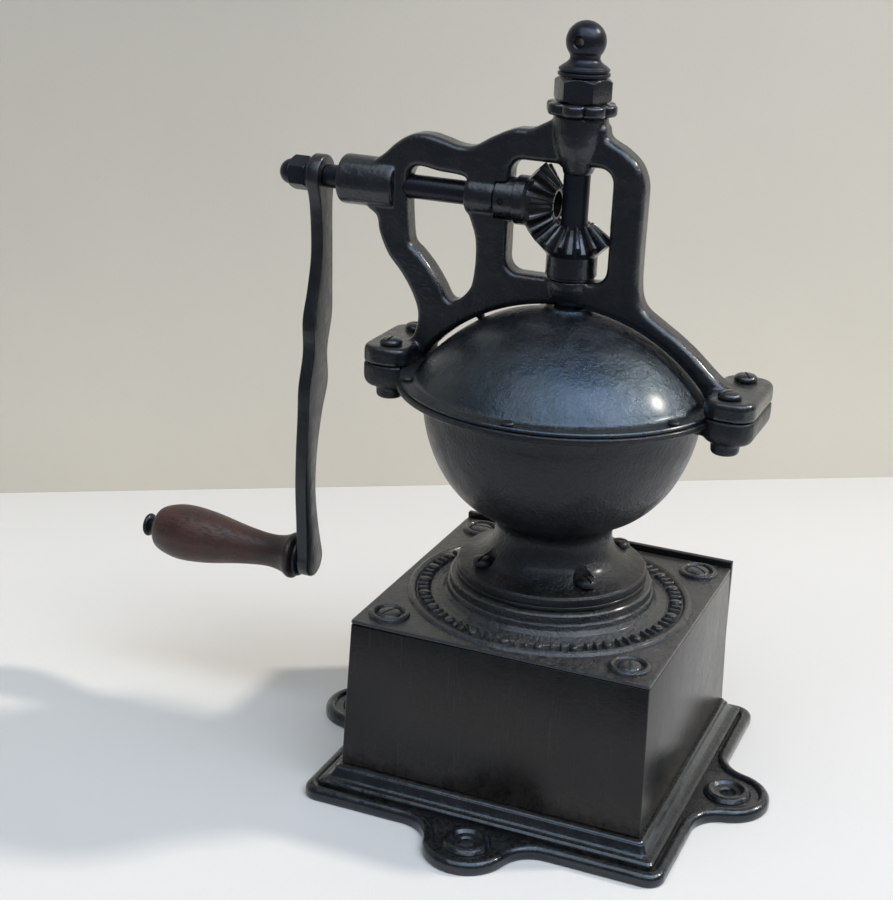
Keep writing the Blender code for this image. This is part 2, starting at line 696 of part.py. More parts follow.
def make_fixed_lid():
    """Domed cover with a flange, a window towards the drawer side and a hub for the shutter."""
    flange_low = RIM_TOP_Z + GAP
    flange_high = flange_low + LID_FLANGE_T
    outer = [(LID_FLANGE_R, flange_low), (LID_FLANGE_R, flange_high - 0.5 * MM),
             (LID_FLANGE_R - 0.6 * MM, flange_high), (77.2 * MM, flange_high),
             (75.6 * MM, flange_high + 0.7 * MM)]
    outer += dome_arc(DOME_R, 221.6 * MM, 14 * MM, 6)
    hub = [(10.5, 258.4), (7.6, 258.4), (7.6, 247), (9, 247), (9, 252)]
    inner = list(reversed(dome_arc(DOME_R - LID_T, flange_low + 1.2 * MM, 12 * MM, 5)))
    profile = outer + [(r * MM, z * MM) for r, z in hub] + inner + [(inner[-1][0], flange_low)]
    lid = add(turned(profile, ROUND_FINE, closed=True), "fixed_lid", "black_iron")
    low_r = 76.5 * MM
    window = [(17.5 * MM, 215 * MM + 7 * MM), (low_r, 222 * MM), (low_r, 262 * MM), (17.5 * MM, 262 * MM)]
    cutter = tool(sector(window, WINDOW_START_DEG, WINDOW_END_DEG, 8))
    holes = [cutter]
    for x, y in lid_screw_places():
        holes.append(tool(moved(drill(1.9 * MM, 216 * MM, 221 * MM, 12), x, y)))
    return combine(lid, holes, "DIFFERENCE")


def make_lid_screws():
    screws = []
    for number, (x, y) in enumerate(lid_screw_places(), 1):
        seat = RIM_TOP_Z + GAP + LID_FLANGE_T + GAP
        body = domed_screw(3.3 * MM, 1.9 * MM, 1.55 * MM, 5.4 * MM, 12)
        screws.append(add(moved(body, x, y, seat), f"lid_screw_{number}", "black_steel"))
    return screws


def make_shutter():
    """Rotary door inside the dome, carried on a ring round the lid's hub."""
    outer_r = SHUTTER_R
    inner_r = SHUTTER_R - 1.8 * MM
    skin = dome_arc(outer_r, RIM_TOP_Z + 0.4 * MM, 13.5 * MM, 6)
    skin += list(reversed(dome_arc(inner_r, RIM_TOP_Z + 0.4 * MM, 13.5 * MM, 6)))
    door = add(sector(skin, WINDOW_START_DEG - 5, WINDOW_END_DEG + 5, 16), "shutter", "black_iron")
    inner_top = DOME_CENTRE_Z + math.sqrt(inner_r ** 2 - (13 * MM) ** 2)
    ring = tube(17 * MM, 9.4 * MM, inner_top - 1.6 * MM, inner_top + 0.6 * MM, ROUND)
    combine(door, [tool(ring)], "UNION")
    hole = tool(knob_shape([(0, -8), (1.9, -8), (1.9, 8), (0, 8)]))
    return combine(door, [hole], "DIFFERENCE")


def knob_shape(profile):
    """Turn a profile about the dome's normal where the shutter's knob stands."""
    seat_r = 55 * MM
    lean = math.asin(seat_r / DOME_R)
    bm = turned([(r * MM, z * MM) for r, z in profile], ROUND_SMALL)
    bmesh.ops.translate(bm, vec=(0, 0, SHUTTER_R), verts=bm.verts)
    bmesh.ops.rotate(bm, matrix=Matrix.Rotation(lean, 3, "Y"), verts=bm.verts)
    moved(bm, z=DOME_CENTRE_Z)
    return spun(bm, -17)


def make_shutter_knob():
    profile = [(0, -2.4), (1.6, -2.4), (1.6, 0.35), (3.6, 0.35), (3.6, 1.6), (2, 3.2), (2, 6.2)]
    profile += [(4, 7.8), (4.8, 10.4), (4, 12.8), (1.8, 14.2), (0, 14.4)]
    return add(knob_shape(profile), "shutter_knob", "black_steel")


# ---------------------------------------------------------------- yoke

def arch_points():
    """The circle that the yoke's underside follows over the dome, from -X to +X."""
    foot_z = LUG_SPLIT_Z + 2.2 * MM
    start = math.asin((foot_z - DOME_CENTRE_Z) / ARCH_R)
    steps = 8
    turns = [math.pi - start - (math.pi - 2 * start) * i / steps for i in range(steps + 1)]
    return [(ARCH_R * math.cos(t) / MM, (DOME_CENTRE_Z + ARCH_R * math.sin(t)) / MM) for t in turns]


# Outlines of the web in X and Z. Its outer edge runs anticlockwise and its windows run clockwise.
RIGHT_SHOULDER = [(-12, 352), (-16, 345.5), (-25, 340.5), (-32.5, 334), (-36.3, 325), (-36.7, 314),
                  (-36.6, 290), (-37.2, 272), (-40.5, 263.5), (-48, 258), (-58, 251.7), (-68, 244.3),
                  (-76, 237.3), (-82, 232.4), (-90, 228.6), (-93, 225), (-91.5, 222), (-85, 221.4)]
LEFT_LEG = [(85, 221.4), (90.6, 222.4), (90.6, 226.5), (85.5, 230.5), (81.8, 236), (81, 245),
            (84.5, 254.5), (91, 264.5), (99, 273.7), (104.2, 284.5), (106.2, 293), (112, 298),
            (113, 310)]
TOP_EDGE = [(110, 320), (103, 325.8), (96, 332.3), (88, 337), (79, 338.2), (70, 336.4), (62, 334.4),
            (54, 334.8), (44, 340.5), (33, 345.5), (24, 346.5), (17, 350), (11, 352)]
CRANK_WINDOW = [(89.5, 313), (89, 303), (88, 290), (86.5, 281.5), (81.5, 277), (74.5, 269.5),
                (68.5, 261), (65, 255), (61.5, 253.5), (57, 256), (52.5, 261.5), (51, 267),
                (50.2, 277), (50.8, 288), (53.5, 296), (56, 303), (56.3, 316), (60, 319), (72, 319.8),
                (82, 321.3), (87, 319.5)]
GEAR_WINDOW_HALF = (26.75, 28.65)
GEAR_WINDOW_CENTRE = (6.75, 301.85)


def smooth_loop(points, per_span):
    """A closed Catmull-Rom curve through points."""
    count = len(points)
    made = []
    for i in range(count):
        p0, p1, p2, p3 = (Vector(points[(i + k - 1) % count]) for k in range(4))
        for k in range(per_span):
            t = k / per_span
            made.append(0.5 * (2 * p1 + (p2 - p0) * t + (2 * p0 - 5 * p1 + 4 * p2 - p3) * t * t
                               + (3 * p1 - p0 - 3 * p2 + p3) * t ** 3))
    return made


def shifted(points, distance):
    """A loop moved to the left of its own direction."""
    made = []
    for i, point in enumerate(points):
        before = (point - points[i - 1]).normalized()
        after = (points[(i + 1) % len(points)] - point).normalized()
        tangent = (before + after).normalized()
        made.append(point + Vector((-tangent.y, tangent.x)) * distance)
    return made


def rounded_web():
    """The flat web with its two windows and softened edges, standing in the XZ plane."""
    outer = smooth_loop(RIGHT_SHOULDER + arch_points() + LEFT_LEG + TOP_EDGE, 2)
    window = rounded_rectangle(*GEAR_WINDOW_HALF, 7, 3, GEAR_WINDOW_CENTRE)
    loops = [outer, smooth_loop(CRANK_WINDOW, 2), [Vector(p) for p in reversed(window)]]
    half = YOKE_HALF_T / MM
    inset = YOKE_ROUND / MM
    levels = [(-half, inset * 0.72), (-half + inset * 0.72, 0), (half - inset * 0.72, 0),
              (half, inset * 0.72)]
    bm = bmesh.new()
    edge_rings = ([], [])
    for loop in loops:
        rings = []
        for y, distance in levels:
            ring = [bm.verts.new((p.x * MM, y * MM, p.y * MM)) for p in shifted(loop, distance)]
            rings.append(ring)
        for ring, following in zip(rings, rings[1:]):
            bridge(bm, ring, following)
        edge_rings[0].append(rings[0])
        edge_rings[1].append(rings[-1])
    for rings in edge_rings:
        edges = [bm.edges.get((ring[i - 1], ring[i])) for ring in rings for i in range(len(ring))]
        bmesh.ops.triangle_fill(bm, use_beauty=True, edges=edges)
    return bm


def make_yoke():
    yoke = add(rounded_web(), "yoke", "black_iron")
    parts = []
    for side in (1, -1):
        loops = [at_height(lug_outline(side, grow * MM), z * MM)
                 for grow, z in ((0, LUG_SPLIT_Z / MM + 0.15), (0, 227.2), (-0.7, 228.5), (-2, 229))]
        parts.append(tool(loft(loops)))
    parts.append(tool(boss_along_x(OUTER_BOSS_R, *OUTER_BOSS_X)))
    parts.append(tool(boss_along_x(INNER_BOSS_R, *INNER_BOSS_X)))
    head = [(0, 335), (11, 335), (HEAD_R / MM, 338), (HEAD_R / MM, 354), (HEAD_R / MM - 1, 355), (0, 355)]
    parts.append(tool(turned([(r * MM, z * MM) for r, z in head], ROUND)))
    hub = [(0, 261.5), (9, 261.5), (12, 264.5), (12, CROSSBAR_TOP_Z / MM), (0, CROSSBAR_TOP_Z / MM)]
    parts.append(tool(turned([(r * MM, z * MM) for r, z in hub], ROUND)))
    combine(yoke, parts, "UNION")
    holes = [tool(drill(SPINDLE_BORE_R, 250 * MM, 347 * MM, ROUND)),
             tool(drill(SCREW_R + GAP, 340 * MM, HEAD_TOP_Z + MM, ROUND))]
    for low, high in (OUTER_BOSS_X, INNER_BOSS_X):
        holes.append(tool(turned_to_x(drill(BUSH_R + 0.35 * MM, low - 0.2 * MM, high + MM, ROUND),
                                      z=SHAFT_Z)))
    holes.append(tool(turned_to_x(drill(SHAFT_BORE_R + 0.1 * MM, 84 * MM, 100 * MM, ROUND), z=SHAFT_Z)))
    swept = [(0, 6), (20.7, 6), (20.7, 30.4), (11.9, 30.4), (11.9, 40.6), (0, 40.6)]
    swept = spun(turned([(r * MM, x * MM) for r, x in swept], ROUND), DRILL_TURN_DEG)
    holes.append(tool(turned_to_x(swept, z=SHAFT_Z)))
    holes.append(tool(drill(21.4 * MM, 281 * MM, 302 * MM, ROUND)))
    for x, y in lug_places():
        holes.append(tool(moved(drill(3.3 * MM, 215 * MM, 232 * MM, ROUND_SMALL), x, y)))
    return combine(yoke, holes, "DIFFERENCE")


def boss_along_x(radius, low, high):
    edge = 1.2 * MM
    profile = [(0, low), (radius - edge, low), (radius, low + edge), (radius, high - edge),
               (radius - edge, high), (0, high)]
    return turned_to_x(turned(profile, ROUND), z=SHAFT_Z)


def make_yoke_screws():
    screws = []
    for number, (x, y) in enumerate(lug_places(), 1):
        body = domed_screw(6 * MM, 3.4 * MM, 2.95 * MM, 25 * MM)
        screw = add(moved(body, x, y, YOKE_LUG_TOP_Z + GAP), f"yoke_screw_{number}", "black_steel")
        top = YOKE_LUG_TOP_Z + GAP + 3.4 * MM
        screws.append(slotted(screw, 6 * MM, top - 1.4 * MM, top, x, y, 20 + 70 * number))
    return screws


def make_bushes():
    bushes = []
    for name, (low, high) in (("bush_outer", OUTER_BOSS_X), ("bush_inner", INNER_BOSS_X)):
        sleeve = tube(BUSH_R, SHAFT_BORE_R, low + 0.2 * MM, high - 0.2 * MM, ROUND)
        bushes.append(add(turned_to_x(sleeve, z=SHAFT_Z), name, "bare_steel"))
    return bushes


# ---------------------------------------------------------------- gears and crank

def involute(angle):
    return math.tan(angle) - angle


def tooth_loop(teeth, mate_teeth, turn_offset):
    """One bevel gear's large-end outline on its back cone, as (axial, radius, turn) from the apex."""
    pitch_r = GEAR_MODULE * teeth / 2
    cone = math.atan2(teeth, mate_teeth)
    flat_r = pitch_r / math.cos(cone)
    base_r = flat_r * math.cos(PRESSURE_ANGLE)
    half_tooth = (math.pi * GEAR_MODULE / 4 - BACKLASH / 2) / flat_r
    heights = [h * GEAR_MODULE for h in (-1.25, -0.2, 0.95)]
    flank = []
    for height in heights:
        local_r = flat_r + height
        roll = math.acos(min(1.0, base_r / local_r))
        half = half_tooth + involute(PRESSURE_ANGLE) - involute(roll)
        if height < -GEAR_MODULE:
            half += 0.12 * GEAR_MODULE / flat_r
        flank.append((height, half / math.cos(cone)))
    points = []
    for tooth in range(teeth):
        middle = 2 * math.pi * tooth / teeth + turn_offset
        sides = [(h, middle - half) for h, half in flank]
        sides += [(h, middle + half) for h, half in reversed(flank)]
        for height, turn in sides:
            axial = pitch_r / math.tan(cone) - height * math.sin(cone)
            points.append((axial, pitch_r + height * math.cos(cone), turn))
    return points


def bevel_gear(teeth, mate_teeth, turn_offset, bore_r, hub_r, hub_start, hub_end):
    """A bevel gear about Z with its apex at the origin and its hub towards -Z."""
    outline = tooth_loop(teeth, mate_teeth, turn_offset)

    def ring(points):
        return [(r * math.cos(t), r * math.sin(t), -axial) for axial, r, t in points]

    small = 1 - GEAR_FACE_SHARE
    front = min(axial for axial, _, _ in outline) * small + 1.2 * MM
    loops = [ring([(front, bore_r, t) for _, _, t in outline]),
             ring([(axial * small, r * small, t) for axial, r, t in outline]),
             ring(outline),
             ring([(hub_start, hub_r, t) for _, _, t in outline]),
             ring([(hub_end, hub_r, t) for _, _, t in outline]),
             ring([(hub_end, bore_r, t) for _, _, t in outline])]
    return loft(loops + [loops[0]], cap_ends=False)


def make_drive_gear():
    """Crank-side bevel gear: its apex is on the spindle's axis and a tooth points down."""
    bm = bevel_gear(DRIVE_TEETH, SPINDLE_TEETH, 0, SHAFT_BORE_R, 11 * MM, 30.5 * MM,
                    INNER_BOSS_X[0] - GAP)
    bmesh.ops.rotate(bm, matrix=Matrix.Rotation(math.radians(-90), 3, "Y"), verts=bm.verts)
    gear = add(moved(bm, z=SHAFT_Z), "drive_gear", "black_iron")
    hole = turned_to_y(drill(1.8 * MM, -20 * MM, 20 * MM, 12), PIN_X, 0, SHAFT_Z)
    return combine(gear, [tool(hole)], "DIFFERENCE")


PIN_X = 36 * MM


def make_gear_pin():
    pin = turned_to_y(rod(1.5 * MM, -10.6 * MM, 10.6 * MM, 12), PIN_X, 0, SHAFT_Z)
    return add(pin, "gear_pin", "bare_steel")


def make_spindle_gear():
    """Spindle-side bevel gear: a tooth gap faces the drive gear, and its hub stands on the crossbar."""
    offset = math.pi / SPINDLE_TEETH
    hub_end = SHAFT_Z - CROSSBAR_TOP_Z - GAP
    bm = bevel_gear(SPINDLE_TEETH, DRIVE_TEETH, offset, SPINDLE_BORE_R, 12 * MM, 29.6 * MM, hub_end)
    gear = add(moved(bm, z=SHAFT_Z), "spindle_gear", "black_iron")
    keyway = spun(box((-8.63 * MM, -2.23 * MM, 270 * MM), (-5 * MM, 2.23 * MM, 305 * MM)), KEY_TURN_DEG)
    return combine(gear, [tool(keyway)], "DIFFERENCE")


def make_crank_shaft():
    low = 12.5 * MM
    end = 155 * MM
    edge = 0.8 * MM
    profile = [(0, low), (SHAFT_R - edge, low), (SHAFT_R, low + edge), (SHAFT_R, 137.3 * MM),
               (4.6 * MM, 137.3 * MM), (4.6 * MM, end), (0, end)]
    shaft = add(turned_to_x(turned(profile, ROUND), z=SHAFT_Z), "crank_shaft", "black_steel")
    square = box((136.5 * MM, -4.6 * MM, SHAFT_Z - 4.6 * MM), (144.8 * MM, 4.6 * MM, SHAFT_Z + 4.6 * MM))
    combine(shaft, [tool(square)], "UNION")
    hole = turned_to_y(drill(1.8 * MM, -20 * MM, 20 * MM, 12), PIN_X, 0, SHAFT_Z)
    return combine(shaft, [tool(hole)], "DIFFERENCE")


# Width and sideways bow of the arm at shares of the way from the shaft to the grip pin
ARM_STATIONS = [(0.075, 7.2, -1.8), (0.19, 6.6, -4.2), (0.28, 8.8, -3.2), (0.355, 11.4, -1.2),
                (0.44, 8.6, 0.4), (0.525, 11.6, 1.6), (0.60, 8.8, 4.6), (0.70, 6.8, 7.4),
                (0.80, 6.2, 7.4), (0.90, 7.2, 4.0)]


def smooth_through(points, per_span):
    """A Catmull-Rom curve through points, ends included."""
    padded = [points[0]] + list(points) + [points[-1]]
    made = []
    for i in range(1, len(padded) - 2):
        p0, p1, p2, p3 = (Vector(p) for p in padded[i - 1:i + 3])
        for k in range(per_span):
            t = k / per_span
            made.append(0.5 * (2 * p1 + (p2 - p0) * t + (2 * p0 - 5 * p1 + 4 * p2 - p3) * t * t
                               + (3 * p1 - p0 - 3 * p2 + p3) * t ** 3))
    made.append(Vector(points[-1]))
    return made


def arm_outline():
    """The arm's outline in Y and Z: round head, wavy shank, round eye."""
    top = Vector((0, SHAFT_Z))
    foot = Vector((GRIP_Y, GRIP_Z))
    along = (foot - top).normalized()
    across = Vector((-along.y, along.x))
    length = (foot - top).length

    def edge(side):
        return [top + along * share * length + across * (bow + side * width) * MM
                for share, width, bow in ARM_STATIONS]

    base_turn = math.degrees(math.atan2(-along.y, -along.x))
    head = [Vector(p) for p in arc(top.x, top.y, ARM_HEAD_R, base_turn - 115, base_turn + 115, 12)]
    eye = [Vector(p) for p in arc(foot.x, foot.y, ARM_EYE_R, base_turn + 75, base_turn + 285, 12)]
    right = smooth_through([head[-1]] + edge(-1) + [eye[0]], 2)[1:-1]
    left = smooth_through([eye[-1]] + list(reversed(edge(1))) + [head[0]], 2)[1:-1]
    return head + right + eye + left


def make_crank_arm():
    outline = arm_outline()
    centre = sum(outline, Vector((0, 0))) / len(outline)
    loops = []
    for x, shrink in ((ARM_X[0], 0.9 * MM), (ARM_X[0] + 1.1 * MM, 0), (ARM_X[1] - 1.1 * MM, 0),
                      (ARM_X[1], 0.9 * MM)):
        loop = []
        for i, point in enumerate(outline):
            tangent = (outline[(i + 1) % len(outline)] - outline[i - 1]).normalized()
            normal = Vector((tangent.y, -tangent.x))
            if normal.dot(point - centre) < 0 and abs(point.y - SHAFT_Z) < ARM_HEAD_R:
                normal = -normal
            loop.append((x, point.x - normal.x * shrink, point.y - normal.y * shrink))
        loops.append(loop)
    arm = add(loft(loops), "crank_arm", "black_iron")
    half = 4.95 * MM
    square = box((ARM_X[0] - MM, -half, SHAFT_Z - half), (ARM_X[1] + MM, half, SHAFT_Z + half))
    socket = turned_to_x(drill(4.1 * MM, 139 * MM, 146 * MM, ROUND_SMALL), 0, GRIP_Y, GRIP_Z)
    return combine(arm, [tool(square), tool(socket)], "DIFFERENCE")


def make_crank_fixings():
    washer = turned_to_x(tube(9.3 * MM, 4.95 * MM, 145.3 * MM, 146.5 * MM, ROUND), z=SHAFT_Z)
    washer = add(washer, "crank_washer", "black_steel")
    flats = 16 * MM
    corner_r = flats / 2 / math.cos(math.radians(30))
    body = add(turned_to_x(rod(corner_r, 146.8 * MM, 157 * MM, 6), z=SHAFT_Z), "acorn_nut",
               "black_steel")
    cone = [(0, 146), (8.4, 146), (9.2, 147.8), (9.2, 155.8), (8, 158), (0, 158)]
    combine(body, [tool(turned_to_x(turned([(r * MM, z * MM) for r, z in cone], ROUND), z=SHAFT_Z))],
            "INTERSECT")
    dome_r, dome_x = 7.2 * MM, 157.4 * MM
    turns = [math.radians(20 * i) for i in range(4)]
    dome = [(0, 150 * MM), (dome_r, 150 * MM)]
    dome += [(dome_r * math.cos(t), dome_x + dome_r * math.sin(t)) for t in turns]
    dome.append((0, dome_x + dome_r))
    combine(body, [tool(turned_to_x(turned(dome, ROUND), z=SHAFT_Z))], "UNION")
    bore = turned_to_x(drill(4.95 * MM, 145 * MM, 155.4 * MM, ROUND_SMALL), z=SHAFT_Z)
    combine(body, [tool(bore)], "DIFFERENCE")
    return washer, body


def make_grip_pin():
    profile = [(0, 139.4), (3.8, 139.4), (3.8, 240.6), (3.3, 242), (4.2, 243.4), (6.4, 245.2),
               (6.6, 246.6), (5.8, 247.5), (0, 247.9)]
    bm = turned([(r * MM, z * MM) for r, z in profile], ROUND)
    return add(turned_to_x(bm, 0, GRIP_Y, GRIP_Z), "grip_pin", "bare_steel")


def make_grip():
    outer = [(10.8, 148.8), (12.8, 150), (13, 152), (11.6, 155.5), (9.8, 161), (9.3, 167), (9.8, 175),
             (11.4, 185), (13.4, 196), (15.2, 207), (16.1, 217), (15.7, 226), (13.6, 234),
             (10.6, 238.6), (7.6, 240)]
    bore = [(4.15, 240), (4.15, 148.8)]
    bm = turned([(r * MM, z * MM) for r, z in outer + bore], 18, closed=True)
    return add(turned_to_x(bm, 0, GRIP_Y, GRIP_Z), "grip", "wood")


def make_ferrule():
    profile = [(4.15, 145.3), (9.6, 145.3), (10.8, 146), (11.2, 147.2), (10.4, 148.4), (4.15, 148.4)]
    bm = turned([(r * MM, z * MM) for r, z in profile], ROUND, closed=True)
    return add(turned_to_x(bm, 0, GRIP_Y, GRIP_Z), "ferrule", "black_steel")


# ---------------------------------------------------------------- adjuster

def make_lobed_collar():
    """Round collar under the lock nut with finger lobes round its edge."""
    low, high = HEAD_TOP_Z + GAP, HEAD_TOP_Z + 6 * MM
    bore_r = SCREW_R + GAP
    per_lobe = 5
    count = LOBE_COUNT * per_lobe
    turns = [2 * math.pi * (i + 0.5) / count for i in range(count)]

    def loop(inset, z):
        made = []
        for t in turns:
            swell = abs(math.cos(LOBE_COUNT * t / 2)) ** 0.6
            radius = 14.9 * MM + 3.1 * MM * swell - inset
            made.append((radius * math.cos(t), radius * math.sin(t), z))
        return made

    def bore(z):
        return [(bore_r * math.cos(t), bore_r * math.sin(t), z) for t in turns]

    loops = [bore(low), loop(1.2 * MM, low), loop(0, low + 1.4 * MM), loop(0, high - 1.4 * MM),
             loop(1.2 * MM, high), bore(high)]
    return add(loft(loops + [loops[0]], cap_ends=False), "lobed_collar", "black_iron")


def make_lock_nut():
    low, high = HEAD_TOP_Z + 6 * MM + GAP, 373 * MM
    corner_r = NUT_FLATS / 2 / math.cos(math.radians(30))
    nut = add(spun(rod(corner_r, low, high, 6), 8), "lock_nut", "black_iron")
    cone = [(0, low - MM), (13, low - MM), (15.2 * MM, low + 1.5 * MM), (15.2 * MM, high - 2 * MM),
            (11.6 * MM, high + 0.1 * MM), (0, high + 0.1 * MM)]
    cone[1] = (13 * MM, low - MM)
    combine(nut, [tool(turned(cone, ROUND))], "INTERSECT")
    bore = drill(SCREW_R + GAP, low - MM, high + MM, ROUND)
    return combine(nut, [tool(bore)], "DIFFERENCE")


def make_adjusting_screw():
    """Threaded screw with a collared finial ball that is drilled for a turning bar."""
    low = SPINDLE_TOP_Z + 2 * THRUST_BALL_R + 2 * GAP
    profile = [(0, low), (SCREW_R - MM, low), (SCREW_R, low + MM), (SCREW_R, 373.6 * MM)]
    collar = [(12, 373.6), (12.9, 374.2), (12.9, 375.2), (12, 375.8), (11.4, 375.9), (12.4, 376.5),
              (12.6, 377.3), (11.6, 378), (10.8, 378.4), (8.6, 380), (7.6, 381.6)]
    profile += [(r * MM, z * MM) for r, z in collar]
    ball_r, ball_z = 9.9 * MM, 390.2 * MM
    profile += [(ball_r * math.cos(t), ball_z + ball_r * math.sin(t)) for t in
                (math.radians(a) for a in range(-40, 85, 17))]
    profile.append((0, ball_z + ball_r))
    screw = add(turned(profile, 16), "adjusting_screw", "black_steel")
    bar_hole = turned_to_y(drill(2.5 * MM, -12 * MM, 12 * MM, ROUND_SMALL), z=ball_z)
    return combine(screw, [tool(spun(bar_hole, -5))], "DIFFERENCE")


def make_thrust_ball():
    centre = SPINDLE_TOP_Z + GAP + THRUST_BALL_R
    bm = bmesh.new()
    bmesh.ops.create_icosphere(bm, subdivisions=2, radius=THRUST_BALL_R)
    return add(moved(bm, z=centre), "thrust_ball", "bare_steel")


def main():
    clear_scene()
    make_base_plate()
    make_wall_wrap()
    make_top_plate()
    make_corner_screws()
    make_drawer_runners()
    hang(empty_at("drawer_slide", (0, -TOP_HALF, KNOB_Z)), *make_drawer())
    make_hopper_bowl()
    make_foot_screws()
    make_ring_burr()
    make_lower_bridge()
    make_bridge_screws()
    make_spring()
    make_fixed_lid()
    make_lid_screws()
    hang(empty_at("shutter_axis", (0, 0, DOME_CENTRE_Z)), make_shutter(), make_shutter_knob())
    make_yoke()
    make_yoke_screws()
    make_bushes()
    make_lobed_collar()
    shaft_axis = empty_at("crank_axis", (0, 0, SHAFT_Z))
    hang(shaft_axis, make_crank_shaft(), make_drive_gear(), make_gear_pin(), make_crank_arm())
    hang(shaft_axis, *make_crank_fixings())
    hang(shaft_axis, make_grip_pin())
    hang(empty_at("grip_axis", (GRIP_END_X, GRIP_Y, GRIP_Z)), make_grip(), make_ferrule())
    spindle_axis = empty_at("spindle_axis", (0, 0, SHAFT_Z))
    hang(spindle_axis, make_spindle_gear(), make_spindle(), make_gear_key(), make_burr_cone())
    hang(spindle_axis, *make_cone_fixings())
    hang(empty_at("adjuster_axis", (0, 0, HEAD_TOP_Z)), make_adjusting_screw(), make_thrust_ball(),
         make_lock_nut())


main()
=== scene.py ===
"""Looks for the hand crank coffee grinder: castings, turned steel, bevel gears and a worn wooden grip.

Meshes are made in millimetres in the row frame and scaled once, when each becomes an object.
"""
import json
import math

import bmesh
import bpy
from mathutils import Matrix, Vector


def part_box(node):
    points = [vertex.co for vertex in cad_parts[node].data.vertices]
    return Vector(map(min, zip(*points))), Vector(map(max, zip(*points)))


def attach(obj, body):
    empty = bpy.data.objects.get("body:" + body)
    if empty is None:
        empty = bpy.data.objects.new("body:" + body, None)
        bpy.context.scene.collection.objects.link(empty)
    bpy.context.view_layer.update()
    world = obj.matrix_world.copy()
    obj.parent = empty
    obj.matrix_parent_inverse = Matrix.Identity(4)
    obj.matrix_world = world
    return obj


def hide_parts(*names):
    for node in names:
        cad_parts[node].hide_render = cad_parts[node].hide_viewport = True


MM = 0.001
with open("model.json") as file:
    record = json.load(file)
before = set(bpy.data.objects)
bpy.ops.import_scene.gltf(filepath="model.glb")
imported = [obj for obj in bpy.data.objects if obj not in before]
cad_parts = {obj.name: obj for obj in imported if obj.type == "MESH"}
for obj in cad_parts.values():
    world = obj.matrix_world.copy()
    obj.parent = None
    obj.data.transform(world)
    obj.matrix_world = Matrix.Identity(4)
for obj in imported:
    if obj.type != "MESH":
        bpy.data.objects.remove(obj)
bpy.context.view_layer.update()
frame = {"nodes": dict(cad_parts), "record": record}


def cad_box(node):
    """A CAD node's low and high corners in millimetres."""
    low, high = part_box(node)
    return low / MM, high / MM


def span(node, axis):
    """Where a CAD node starts and ends along one axis."""
    return tuple(getattr(corner, axis) for corner in cad_box(node))


# ---- places taken from the frame

SHAFT_Z = sum(span("crank_shaft", "z")) / 2
SHAFT_R = (span("crank_shaft", "y")[1] - span("crank_shaft", "y")[0]) / 2
SPINDLE_R = cad_box("spindle")[1].x
SPINDLE_TOP = cad_box("spindle")[1].z
BASE_TOP = cad_box("base_plate")[1].z
BASE_REACH = cad_box("base_plate")[1].x
WALL_LOW = cad_box("wall_wrap")[0].z
WALL_HIGH = cad_box("wall_wrap")[1].z
TOP_HALF = cad_box("top_plate")[1].x
PEDESTAL_TOP = cad_box("top_plate")[1].z
RIM_R = cad_box("hopper_bowl")[1].y
LUG_REACH = cad_box("hopper_bowl")[1].x
LUG_SPLIT = cad_box("yoke")[0].z
LID_LOW = cad_box("fixed_lid")[0].z
LID_R = cad_box("fixed_lid")[1].y
HEAD_TOP = cad_box("yoke")[1].z
ARM_X = span("crank_arm", "x")
GRIP_X = span("grip", "x")
GRIP_Y = sum(span("grip", "y")) / 2
GRIP_Z = sum(span("grip", "z")) / 2
PIN_END = cad_box("grip_pin")[1].x
TOP_Z = cad_box("adjusting_screw")[1].z
NUT_Z = span("lock_nut", "z")
COLLAR_Z = span("lobed_collar", "z")

# ---- driving dimensions of the detail

BOX_TOP = 99.0
BASE_HALF = 98.5
EAR_CENTRE = 107.0
EAR_R = BASE_REACH - EAR_CENTRE
CORNER_XY = 65.0
FOOT_SCREW_R = 40.5
FOOT_SEAT = 121.0
LID_SCREW_R = 81.0
DOME_R = 95.0
DOME_Z = 162.5
SHUTTER_R = 90.9
ARCH_R = 97.0
LUG_X = 90.5
LUG_Y = 16.2
BAND_R = 67.6
BAND_UNITS = 24
YOKE_HALF = 7.25
YOKE_ROUND = 3.5
MODULE = 2.65
GEAR_TEETH = 14
FACE_SHARE = 0.52
GEAR_PIN_X = 36.0
PULL_Z = 58.0
HEAD_BORE_R = 6.3
ARM_HEAD_R = 11.0
ARM_EYE_R = 9.8

# Segments round a turned piece
FINE = 128
MEDIUM = 64
SMALL = 40


# ---- mesh helpers

def bridge(bm, ring, following):
    count = max(len(ring), len(following))
    for i in range(count if count > 1 else 0):
        j = (i + 1) % count
        corners = []
        for corner in (ring[i % len(ring)], ring[j % len(ring)],
                       following[j % len(following)], following[i % len(following)]):
            if corner not in corners:
                corners.append(corner)
        bm.faces.new(corners)


def loft(loops, closed=False, caps=True):
    bm = bmesh.new()
    rings = [[bm.verts.new(p) for p in loop] for loop in loops]
    for ring, following in zip(rings, rings[1:]):
        bridge(bm, ring, following)
    if closed:
        bridge(bm, rings[-1], rings[0])
    elif caps:
        bm.faces.new(rings[0])
        bm.faces.new(rings[-1])
    return bm


def circle(radius, height, segments):
    turns = [2 * math.pi * i / segments for i in range(segments)]
    return [(radius * math.cos(t), radius * math.sin(t), height) for t in turns]


def turned(profile, segments=MEDIUM, closed=False):
    """Turn (radius, height) points about Z. Points on the axis close a fan."""
    loops = [[(0, 0, z)] if r < 1e-6 else circle(r, z, segments) for r, z in profile]
    return loft(loops, closed=closed, caps=False)


def rod(radius, low, high, segments=MEDIUM):
    return turned([(0, low), (radius, low), (radius, high), (0, high)], segments)


